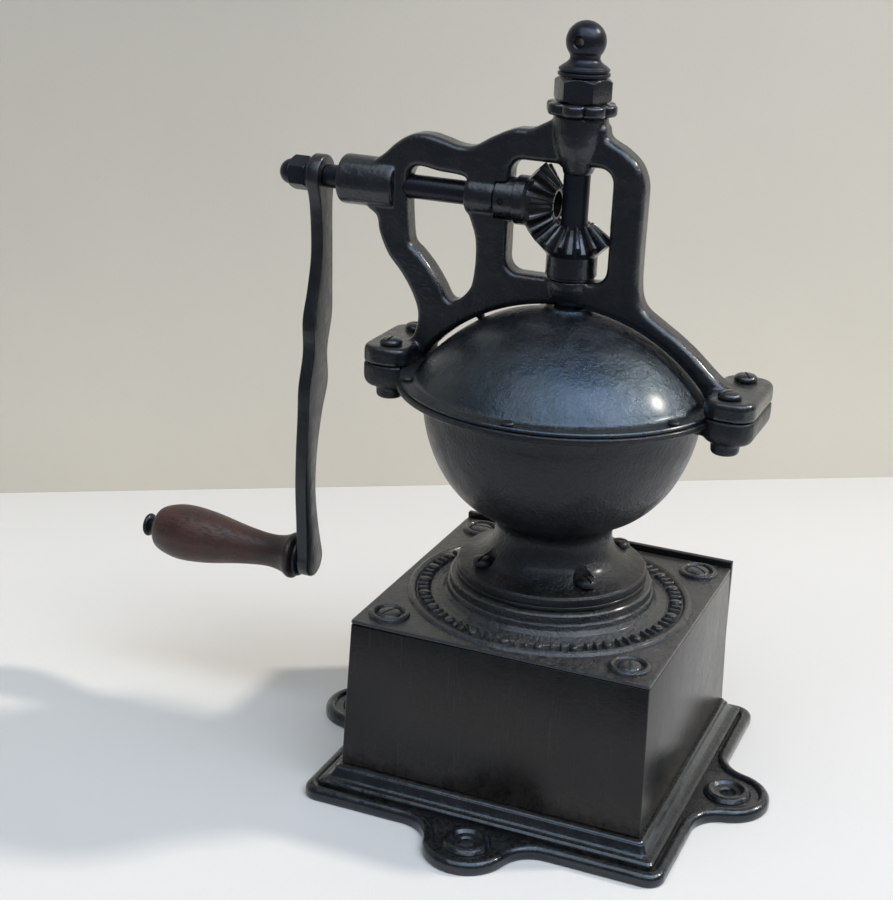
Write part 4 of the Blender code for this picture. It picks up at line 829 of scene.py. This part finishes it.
def make_lid_screws():
    seat = LID_LOW + 2.1
    for number, (x, y) in enumerate(places_round(LID_SCREW_R, 6, 30), 1):
        screw = moved(screw_body(3.3, 1.9, 1.5, 5.4), x, y, seat)
        piece_for(f"lid_screw_{number}", screw, "housing", IRON_BOWL)


def make_shutter():
    skin = dome_line(SHUTTER_R, 217.4, 13.5, 30)
    skin += list(reversed(dome_line(SHUTTER_R - 1.8, 217.4, 13.5, 30)))
    door = solid(sector(skin, 185, 355, 90), "v_shutter")
    top = DOME_Z + math.sqrt((SHUTTER_R - 1.8) ** 2 - 13 ** 2)
    ring = rounded([(9.4, top - 1.6), (17, top - 1.6), (17, top + 0.6), (9.4, top + 0.6)], 0.3, closed=True)
    join(door, ring)
    dress(soften(door, 0.3, 2, 50), "shutter_door", IRON, ["shutter"])
    outline = [(0, 0.35), (3.4, 0.35), (3.6, 0.6), (3.6, 1.4)] + curve(
        [(3.3, 1.8), (2.3, 2.8), (2, 4.6), (2.4, 6.4), (3.8, 7.8), (4.7, 9.8), (4.5, 12), (3.2, 13.7),
         (1.4, 14.4), (0, 14.4)], 5)
    knob = turned(outline, SMALL)
    moved(knob, 0, 0, SHUTTER_R)
    rotated(knob, math.degrees(math.asin(55 / DOME_R)), "Y")
    moved(knob, 0, 0, DOME_Z)
    piece_for("shutter_knob", rotated(knob, -17, "Z"), "shutter_door", STEEL_Z)


# ---- yoke

RIGHT_SHOULDER = [(-12, 352), (-16, 345.5), (-25, 340.5), (-32.5, 334), (-36.3, 325), (-36.7, 314),
                  (-36.6, 290), (-37.2, 272), (-40.5, 263.5), (-48, 258), (-58, 251.7), (-68, 244.3),
                  (-76, 237.3), (-82, 232.4), (-90, 228.6), (-93, 225), (-91.5, 222), (-85, 221.4)]
LEFT_LEG = [(85, 221.4), (90.6, 222.4), (90.6, 226.5), (84.5, 230.5), (81.8, 236), (81, 245), (84.5, 254.5),
            (91, 264.5), (99, 273.7), (104.2, 284.5), (106.2, 293), (112, 298), (113, 310)]
TOP_EDGE = [(110, 320), (103, 325.8), (96, 332.3), (88, 337), (79, 338.2), (70, 336.4), (62, 334.4),
            (54, 334.8), (44, 340.5), (33, 345.5), (24, 346.5), (17, 350), (11, 352)]
CRANK_WINDOW = [(89.5, 313), (89, 303), (88, 290), (86.5, 281.5), (81.5, 277), (74.5, 269.5), (68.5, 261),
                (65, 255), (61.5, 253.5), (57, 256), (52.5, 261.5), (51, 267), (50.2, 277), (50.8, 288),
                (53.5, 296), (56, 303), (56.3, 316), (60, 319), (72, 319.8), (82, 321.3), (87, 319.5)]


def arch_points():
    start = math.asin((LUG_SPLIT + 2 - DOME_Z) / ARCH_R)
    turns = [math.pi - start - (math.pi - 2 * start) * i / 24 for i in range(25)]
    return [(ARCH_R * math.cos(t), DOME_Z + ARCH_R * math.sin(t)) for t in turns]


def yoke_web():
    """The web with rounded edges: a quarter-round of levels on each side of every outline."""
    window = [Vector(p) for p in reversed(rounded_rectangle(26.75, 28.65, 7, 8, (6.75, 301.85)))]
    loops = [spline(RIGHT_SHOULDER + arch_points() + LEFT_LEG + TOP_EDGE, 5, closed=True),
             spline(CRANK_WINDOW, 5, closed=True), window]
    quarter = [(YOKE_ROUND * (1 - math.sin(t)), YOKE_HALF - YOKE_ROUND * (1 - math.cos(t)))
               for t in (math.radians(15 * i) for i in range(7))]
    levels = [(-y, inset) for inset, y in sorted(quarter)[::-1]]
    levels += [(y, inset) for inset, y in sorted(quarter)]
    bm = bmesh.new()
    ends = ([], [])
    for loop in loops:
        rings = [[bm.verts.new((p.x, y, p.y)) for p in shifted(loop, inset)] for y, inset in levels]
        for ring, following in zip(rings, rings[1:]):
            bridge(bm, ring, following)
        ends[0].append(rings[0])
        ends[1].append(rings[-1])
    for rings in ends:
        edges = [bm.edges.get((ring[i - 1], ring[i])) for ring in rings for i in range(len(ring))]
        bmesh.ops.triangle_fill(bm, use_beauty=True, edges=edges)
    return bm


def boss_along_x(radius, low, high):
    profile = eased([(0, low), (radius, low), (radius, high), (0, high)], 1.4, 5)
    return along_x(turned(profile), z=SHAFT_Z)


def make_yoke():
    parts = [yoke_web()]
    for side in (1, -1):
        levels = [(-0.6, LUG_SPLIT + 0.1), (0, LUG_SPLIT + 0.8), (0, 226.4), (-0.4, 227.8), (-1.3, 228.7),
                  (-2.6, 229)]
        parts.append(loft([at(lug_outline(side, g), z) for g, z in levels]))
    parts.append(boss_along_x(13, 95.6, 127))
    parts.append(boss_along_x(10.5, 40.7, 56.6))
    head = rounded([(0, 326), (7.2, 326), (9.4, 331), (11.6, 336), (13, 341), (13.7, 346.5), (13.7, 354),
                    (12.9, HEAD_TOP), (0, HEAD_TOP)], 0.6)
    foot = [(0, 259), (7.2, 259), (9.2, 262), (10.6, 265.5), (11.6, 269), (12, 273), (0, 273)]
    parts += [head, turned(foot)]
    yoke = cast_together("v_yoke", parts, 0.75, 7)
    cut(yoke,
        turned([(0, 250), (7, 250), (7, 347), (HEAD_BORE_R, 347), (HEAD_BORE_R, 360), (0, 360)]),
        along_x(turned([(0, 84), (6.6, 84), (6.6, 95.4), (8.8, 95.4), (8.8, 130), (0, 130)]), z=SHAFT_Z),
        along_x(turned([(0, 6), (20.7, 6), (20.7, 30.4), (11.9, 30.4), (11.9, 40.6), (8.8, 40.6), (8.8, 60),
                        (0, 60)]), z=SHAFT_Z),
        rod(21.4, 281, 302))
    dress(yoke, "housing", IRON_YOKE, ["yoke"], sharp=50)


def make_bushes():
    for node, (low, high) in (("bush_outer", (95.8, 126.8)), ("bush_inner", (40.9, 56.4))):
        sleeve = rounded([(6.5, low), (8.5, low), (8.5, high), (6.5, high)], 0.3, closed=True)
        piece_for(node, along_x(sleeve, z=SHAFT_Z), "housing", STEEL_X)


# ---- gears, shafts and crank

def tooth_outline(turn_offset):
    """Points (axial, radius, turn) round a mitre gear's large end; the axial way is from the apex."""
    teeth = GEAR_TEETH
    pitch_r = MODULE * teeth / 2
    cone = math.radians(45)
    flat_r = pitch_r / math.cos(cone)
    base_r = flat_r * math.cos(math.radians(20))
    half_tooth = (math.pi * MODULE / 4 - 0.1) / flat_r

    def involute(angle):
        return math.tan(angle) - angle

    flank = []
    for share in (-1.25, -1.1, -0.7, -0.2, 0.35, 0.8, 0.95):
        height = share * MODULE
        roll = math.acos(min(1.0, base_r / (flat_r + height)))
        half = half_tooth + involute(math.radians(20)) - involute(roll)
        if share == -1.25:
            half += 0.12 * MODULE / flat_r
        if share == 0.95:
            half -= 0.07 * MODULE / flat_r
        flank.append((height, half / math.cos(cone)))
    points = []
    for tooth in range(teeth):
        middle = 2 * math.pi * tooth / teeth + turn_offset
        sides = [(h, middle - a) for h, a in flank] + [(h, middle + a) for h, a in reversed(flank)]
        for height, turn in sides:
            points.append((pitch_r / math.tan(cone) - height * math.sin(cone),
                           pitch_r + height * math.cos(cone), turn))
    return points


def mitre_gear(offset, bore_r, neck_r, neck_end, hub_r, hub_end):
    outline = tooth_outline(offset)
    small = 1 - FACE_SHARE

    def ring(points):
        return [(r * math.cos(t), r * math.sin(t), -a) for a, r, t in points]

    def plain(axial, radius):
        return ring([(axial, radius, t) for _, _, t in outline])

    front = min(a for a, _, _ in outline) * small + 1.2
    loops = [plain(front, bore_r), plain(front - 0.1, bore_r + 1.2),
             ring([(a * small + 0.25, r * (small - 0.01), t) for a, r, t in outline]),
             ring([(a * (small + 0.02), r * (small + 0.02), t) for a, r, t in outline]),
             ring([(a * 0.985, r * 0.985, t) for a, r, t in outline]),
             ring([(a, r * 0.992, t) for a, r, t in outline]),
             plain(23.2, neck_r + 0.9), plain(24.2, neck_r), plain(neck_end - 0.5, neck_r),
             plain(neck_end, neck_r - 0.5), plain(neck_end + 0.1, hub_r), plain(hub_end - 0.6, hub_r),
             plain(hub_end, hub_r - 0.6), plain(hub_end, bore_r)]
    return loft(loops, closed=True)


def make_gears():
    drive = rotated(mitre_gear(0, SHAFT_R + 0.3, 12.6, 30.1, 11, 40.4), -90, "Y")
    gear = solid(moved(drive, z=SHAFT_Z), "v_drive_gear")
    cut(gear, along_y(rod(1.7, -20, 20, SMALL), GEAR_PIN_X, 0, SHAFT_Z))
    dress(gear, "crank", IRON_GEAR, ["drive_gear"], sharp=40)
    hub_end = SHAFT_Z - cad_box("spindle_gear")[0].z
    driven = mitre_gear(math.pi / GEAR_TEETH, SPINDLE_R + 0.3, 13, hub_end - 1.5, 12.2, hub_end)
    piece_for("spindle_gear", moved(driven, z=SHAFT_Z), "driven_gear", IRON_GEAR, sharp=40)
    pin = rounded([(0, -10.6), (1.5, -10.6), (1.5, 10.6), (0, 10.6)], 0.4, SMALL)
    piece_for("gear_pin", along_y(pin, GEAR_PIN_X, 0, SHAFT_Z), "crank", STEEL_X)


def make_shafts():
    low = cad_box("crank_shaft")[0].x
    shaft = rounded([(0, low), (SHAFT_R, low), (SHAFT_R, 137.3), (4.6, 137.3), (4.6, 154.8), (0, 154.8)],
                    0.6)
    piece_for("crank_shaft", along_x(shaft, z=SHAFT_Z), "crank", STEEL_X)
    profile = eased([(0, 136.8), (5.5, 136.8), (SPINDLE_R, 137.4), (SPINDLE_R, SPINDLE_TOP),
                     (0, SPINDLE_TOP)], 0.8)
    lower = [(0, 86), (4, 86), (4, 97), (4.7, 97), (4.7, 106.2), (5.5, 106.2)]
    piece_for("spindle", turned(lower + profile[1:]), "grinding_spindle", STEEL_Z)


# Share of the arm's length, half width, bow
ARM_STATIONS = [(0.075, 7.2, -1.8), (0.19, 6.6, -4.2), (0.28, 8.8, -3.2), (0.355, 11.4, -1.2),
                (0.44, 8.6, 0.4), (0.525, 11.6, 1.6), (0.60, 8.8, 4.6), (0.70, 6.8, 7.4),
                (0.80, 6.2, 7.4), (0.90, 7.2, 4.0)]


def arm_outline():
    top, foot = Vector((0, SHAFT_Z)), Vector((GRIP_Y, GRIP_Z))
    along = (foot - top).normalized()
    across = Vector((-along.y, along.x))
    length = (foot - top).length

    def edge(side):
        return [top + along * share * length + across * (bow + side * width)
                for share, width, bow in ARM_STATIONS]

    turn = math.degrees(math.atan2(-along.y, -along.x))
    head = [Vector(p) for p in arc(top.x, top.y, ARM_HEAD_R, turn - 115, turn + 115, 36)]
    eye = [Vector(p) for p in arc(foot.x, foot.y, ARM_EYE_R, turn + 75, turn + 285, 36)]
    right = spline([head[-1]] + edge(-1) + [eye[0]], 8)[1:-1]
    left = spline([eye[-1]] + list(reversed(edge(1))) + [head[0]], 8)[1:-1]
    return head + right + eye + left


def make_arm():
    outline = arm_outline()
    low, high = ARM_X
    levels = [(low, 1.0), (low + 0.25, 0.45), (low + 0.7, 0.1), (low + 1.3, 0), (high - 1.3, 0),
              (high - 0.7, 0.1), (high - 0.25, 0.45), (high, 1.0)]
    loops = [[(x, p.x, p.y) for p in shifted(outline, inset)] for x, inset in levels]
    arm = solid(loft(loops), "v_crank_arm")
    cut(arm, along_x(rod(4.1, low + 1.2, high + 1, SMALL), 0, GRIP_Y, GRIP_Z),
        along_x(rod(4.9, low - 1, high + 1, SMALL), z=SHAFT_Z))
    dress(arm, "crank", IRON_ARM, ["crank_arm"], sharp=40)


def hexagon(flats, low, high, chamfer):
    """A hexagonal prism whose ends are turned to a shallow cone."""
    corner = flats / 2 / math.cos(math.radians(30))
    nut = solid(turned([(0, low), (corner, low), (corner, high), (0, high)], 6), "hexagon")
    flat_r = flats / 2 * 0.985
    cone = [(0, low - 1), (flat_r, low - 0.01), (corner + 0.2, low + chamfer),
            (corner + 0.2, high - chamfer), (flat_r, high + 0.01), (0, high + 1)]
    return combine(nut, [solid(turned(cone, 96), "cone")], "INTERSECT")


def make_acorn():
    low, high = span("crank_washer", "x")
    washer = rounded([(5, low), (9.3, low), (9.3, high), (5, high)], 0.35, closed=True)
    piece_for("crank_washer", along_x(washer, z=SHAFT_Z), "crank", STEEL_X)
    nut = hexagon(16, high + 0.3, 157.2, 1.5)
    turns = [math.radians(7.5 * i) for i in range(1, 12)]
    dome = [(0, 150), (6.9, 150), (6.9, 157.4)]
    dome += [(6.9 * math.cos(t), 157.6 + 7 * math.sin(t)) for t in turns] + [(0, 164.6)]
    combine(nut, [solid(turned(dome), "dome")], "UNION")
    nut.data.transform(Matrix.Rotation(math.radians(90), 4, "Y"))
    nut.data.transform(Matrix.Translation((0, 0, SHAFT_Z * MM)))
    nut.name = "v_acorn_nut"
    dress(soften(nut, 0.25, 2, 40), "crank", STEEL_X, ["acorn_nut"])


def make_grip():
    low, high = GRIP_X
    bulge = [(10.6, 0), (12.3, 0.5), (13.1, 1.9), (12.8, 3.6), (11.5, 5.8), (10.3, 9.2), (9.5, 14),
             (9.4, 20), (10.2, 28), (11.7, 38), (13.6, 48), (15.2, 58), (16.1, 68), (15.9, 76),
             (14.4, 83)]
    shape = [(r, low + x) for r, x in bulge] + [(12.2, high - 3), (9.4, high - 0.9), (7, high)]
    shape = curve(shape, 5) + [(4.1, high), (4.1, low)]
    grip = along_x(turned(shape, 96, closed=True), 0, GRIP_Y, GRIP_Z)
    piece_for("grip", grip, "handle", WOOD, sharp=45)
    start, end = span("ferrule", "x")
    ring = rounded([(4.15, start), (9.6, start), (10.8, start + 0.8), (11.2, end - 1.2), (10.4, end),
                    (4.15, end)], 0.4, closed=True)
    piece_for("ferrule", along_x(ring, 0, GRIP_Y, GRIP_Z), "handle", STEEL_X)
    flare = [(3.8, 0.5), (3.35, 1.4), (3.5, 2.6), (4.6, 3.9), (6.1, 5), (6.6, 5.7), (6.6, 6.5), (6.1, 7.2)]
    flare = curve([(r, high + x) for r, x in flare] + [(5.4, PIN_END - 0.4)], 5)
    dish = curve([(4.6, PIN_END - 0.5), (3.2, PIN_END - 0.55), (2.2, PIN_END - 0.15), (1.1, PIN_END),
                  (0, PIN_END)], 4)
    button = [(0, 139.4), (3.8, 139.4)] + flare + dish
    button = along_x(turned(button), 0, GRIP_Y, GRIP_Z)
    piece_for("grip_pin", button, "crank", STEEL_X)


# ---- head stack

def make_collar():
    low, high = COLLAR_Z
    count = 160
    turns = [2 * math.pi * i / count for i in range(count)]

    def ring(inset, z):
        made = []
        for t in turns:
            radius = 14.9 + 3.0 * abs(math.cos(4 * t)) ** 0.6 - inset
            made.append((radius * math.cos(t), radius * math.sin(t), z))
        return made

    loops = [circle(HEAD_BORE_R, low, count), ring(1.6, low), ring(0.7, low + 0.3), ring(0.15, low + 1),
             ring(0, low + 1.9), ring(0, high - 1.9), ring(0.15, high - 1), ring(0.7, high - 0.3),
             ring(1.6, high), circle(HEAD_BORE_R, high, count)]
    piece_for("lobed_collar", loft(loops, closed=True), "housing", IRON_GEAR, sharp=50)


def make_lock_nut():
    low, high = NUT_Z
    nut = hexagon(25, low, high, 1.8)
    nut.data.transform(Matrix.Rotation(math.radians(8), 4, "Z"))
    cut(nut, rod(HEAD_BORE_R, low - 2, high + 2))
    nut.name = "v_lock_nut"
    dress(soften(nut, 0.35, 2, 40), "locking_nut", IRON_GEAR, ["lock_nut"])


def make_adjuster():
    low = cad_box("adjusting_screw")[0].z
    ball_r = 9.9
    ball_z = TOP_Z - ball_r
    shape = [(0, low), (5, low), (6, low + 1), (6, 373.6)]
    rings = eased([(6, 373.6), (12, 373.6), (12.9, 374.1), (12.9, 375.3), (11.9, 375.8), (11.6, 376),
                   (12.5, 376.5), (12.6, 377.4), (11.6, 378)], 0.35)
    neck = curve([(11.6, 378), (10.9, 378.7), (9.2, 379.8), (7.8, 381.2), (7.4, 382.4), (7.6, 383.8)], 4)
    ball = [(ball_r * math.cos(t), ball_z + ball_r * math.sin(t)) for t in
            (math.radians(a) for a in range(-40, 88, 5))] + [(0, TOP_Z)]
    profile = shape + rings[1:] + neck[1:-1] + ball
    screw = solid(turned(profile, 80), "v_adjusting_screw")
    hole = rounded([(0, -14), (3.6, -14), (3.6, -9.9), (2.5, -8.8), (2.5, 8.8), (3.6, 9.9), (3.6, 14),
                    (0, 14)], 0.3, SMALL)
    cut(screw, rotated(along_y(hole, 0, 0, ball_z), -5, "Z"))
    dress(screw, "adjuster", STEEL_Z, ["adjusting_screw"])


def paint_inner_nodes():
    """Hidden machinery keeps its CAD shape and gets a finish of its own."""
    finishes = {"bare_steel": BARE, "sheet_steel": SHEET, "black_iron": IRON, "black_steel": STEEL_Z}
    slots = {s["node"]: s["material_slot"] for s in frame["record"]["subparts"]}
    for name, node in frame["nodes"].items():
        node.data.materials.clear()
        node.data.materials.append(finishes.get(slots.get(name), IRON))


# ---- room, light and camera

CAMERA_AT = Vector((-0.26435, 0.81167, 0.48541))
CAMERA_AZIMUTH = math.radians(201.98)
CAMERA_ELEVATION = math.radians(19.84)
CAMERA_ROLL = math.radians(2.498)
LENS_MM = 69.3
SUN_WAY = Vector((0.65, 0.386, -0.657))
FLOOR_Z = -0.0002
FLOOR_FRONT = 0.42
FLOOR_REACH = 1.7
WALL_FOOT = (Vector((0.497, -0.183, 0)), Vector((-0.106, -0.556, 0)))


def flat_sheet(name, corners, material):
    bm = bmesh.new()
    bm.faces.new([bm.verts.new(corner) for corner in corners])
    sheet = put_in_scene(name, bpy.data.meshes.new(name))
    bm.to_mesh(sheet.data)
    bm.free()
    sheet.data.materials.append(material)


def backdrop_paint():
    """Warm paper with painted light and shade: painted paler low down and towards the light, with faint
    painted soft shadows, and that painted colour also glowing faintly.
    """
    n = Nodes("backdrop_beige")
    # Painted light: paler towards the floor.
    height = n.ramp(n.axis("Z"), 0.05, 0.75, 1.0, 0.0)
    # Painted light: paler towards the lamp side, with soft painted shadows from the noise.
    light = n.plus(n.times(n.axis("X"), -0.6), n.times(n.noise(3.2, 4, 0.5), 0.5))
    light = n.ramp(light, -0.1, 0.6)
    tone = n.plus(n.times(height, 0.55), n.times(light, 0.5))
    base = n.mix(tone, (0.45, 0.415, 0.355, 1), (0.78, 0.715, 0.60, 1))
    # Painted glow: the backdrop's painted light and shade colour is also given off faintly as emission,
    # though it is no lamp.
    n.link(base, n.shader.inputs["Emission Color"])
    n.link(n.front_side(), n.shader.inputs["Alpha"])
    n.bump((n.noise(900, 3), 0.0001))
    return n.finish(base, 0.9, Specular_IOR_Level=0.1, Emission_Strength=0.13)


def make_room():
    floor = [(x, y, FLOOR_Z) for x, y in ((FLOOR_REACH, FLOOR_FRONT), (-FLOOR_REACH, FLOOR_FRONT),
                                          (-FLOOR_REACH, -FLOOR_REACH), (FLOOR_REACH, -FLOOR_REACH))]
    flat_sheet("floor", floor, paper_white("table_white", (0.745, 0.715, 0.675, 1), 900))
    along = (WALL_FOOT[1] - WALL_FOOT[0]).normalized()
    middle = (WALL_FOOT[0] + WALL_FOOT[1]) / 2
    wall = [middle + along * s + Vector((0, 0, z)) for s,
            z in ((-4, -0.05), (4, -0.05), (4, 3.5), (-4, 3.5))]
    flat_sheet("backdrop", wall, backdrop_paint())


def aim(item, target):
    item.rotation_euler = (Vector(target) - item.location).to_track_quat("-Z", "Y").to_euler()


def area_light(name, place, target, size, power, colour):
    data = bpy.data.lights.new(name, "AREA")
    data.shape = "RECTANGLE"
    data.size, data.size_y = size
    data.energy = power
    data.color = colour
    lamp = put_in_scene(name, data)
    lamp.location = place
    aim(lamp, target)
    return lamp


def make_light():
    data = bpy.data.lights.new("key", "SUN")
    data.energy = 1.72
    data.angle = math.radians(5)
    data.color = (1.0, 0.94, 0.84)
    sun = put_in_scene("key", data)
    sun.location = (-0.65, -0.386, 0.9)
    sun.rotation_euler = SUN_WAY.to_track_quat("-Z", "Y").to_euler()
    area_light("sky_panel", (-0.5, 1.15, 1.9), (-0.5, 1.1, 0), (2.8, 1.9), 36, (0.8, 0.9, 1.0))
    strip = area_light("sky_strip", (-0.75, 0.2, 1.65), (-0.75, 0.2, 0), (1.4, 0.5), 8, (0.36, 0.58, 1.0))
    strip.rotation_euler = (0, 0, math.radians(22))
    area_light("wall_wash", (-0.9, 0.1, 1.3), (-0.1, -0.5, 0.3), (0.9, 0.9), 5, (1.0, 0.95, 0.86))
    world = bpy.data.worlds.new("pale_room")
    world.use_nodes = True
    shade = world.node_tree.nodes["Background"]
    shade.inputs["Color"].default_value = (0.74, 0.80, 0.9, 1)
    shade.inputs["Strength"].default_value = 0.22
    bpy.context.scene.world = world
    bpy.context.scene.view_settings.view_transform = "Standard"


def make_camera():
    data = bpy.data.cameras.new("camera")
    data.lens = LENS_MM
    data.sensor_width = 36
    data.sensor_fit = "AUTO"
    camera = put_in_scene("camera", data)
    az, el, roll = CAMERA_AZIMUTH, CAMERA_ELEVATION, CAMERA_ROLL
    back = Vector((math.sin(az) * math.cos(el), -math.cos(az) * math.cos(el), math.sin(el)))
    right = (-back).cross(Vector((0, 0, 1))).normalized()
    up = right.cross(-back)
    right, up = right * math.cos(roll) + up * math.sin(roll), -right * math.sin(roll) + up * math.cos(roll)
    turn = Matrix((right, up, back)).transposed()
    camera.matrix_world = Matrix.Translation(CAMERA_AT) @ turn.to_4x4()
    bpy.context.scene.camera = camera


def main():
    make_camera()
    make_room()
    make_light()
    paint_inner_nodes()
    make_base()
    make_walls()
    make_top_plate()
    make_screws("corner_screw", corner_places(), BOX_TOP + 0.3, 6.2, 2.4, 3, 90, 1.2, 25, 40, IRON_TOP)
    make_drawer()
    make_bowl()
    make_screws("foot_screw", foot_places(), FOOT_SEAT + 0.3, 5.6, 4.2, 2.75, 20.6, 1.6, 30, 55, IRON_BOWL)
    make_lid()
    make_lid_screws()
    make_shutter()
    make_yoke()
    make_screws("yoke_screw", lug_places(), 229.3, 6, 3.4, 2.9, 25, 1.2, 20, 70, IRON_YOKE)
    make_bushes()
    make_gears()
    make_shafts()
    make_arm()
    make_acorn()
    make_grip()
    make_collar()
    make_lock_nut()
    make_adjuster()


main()
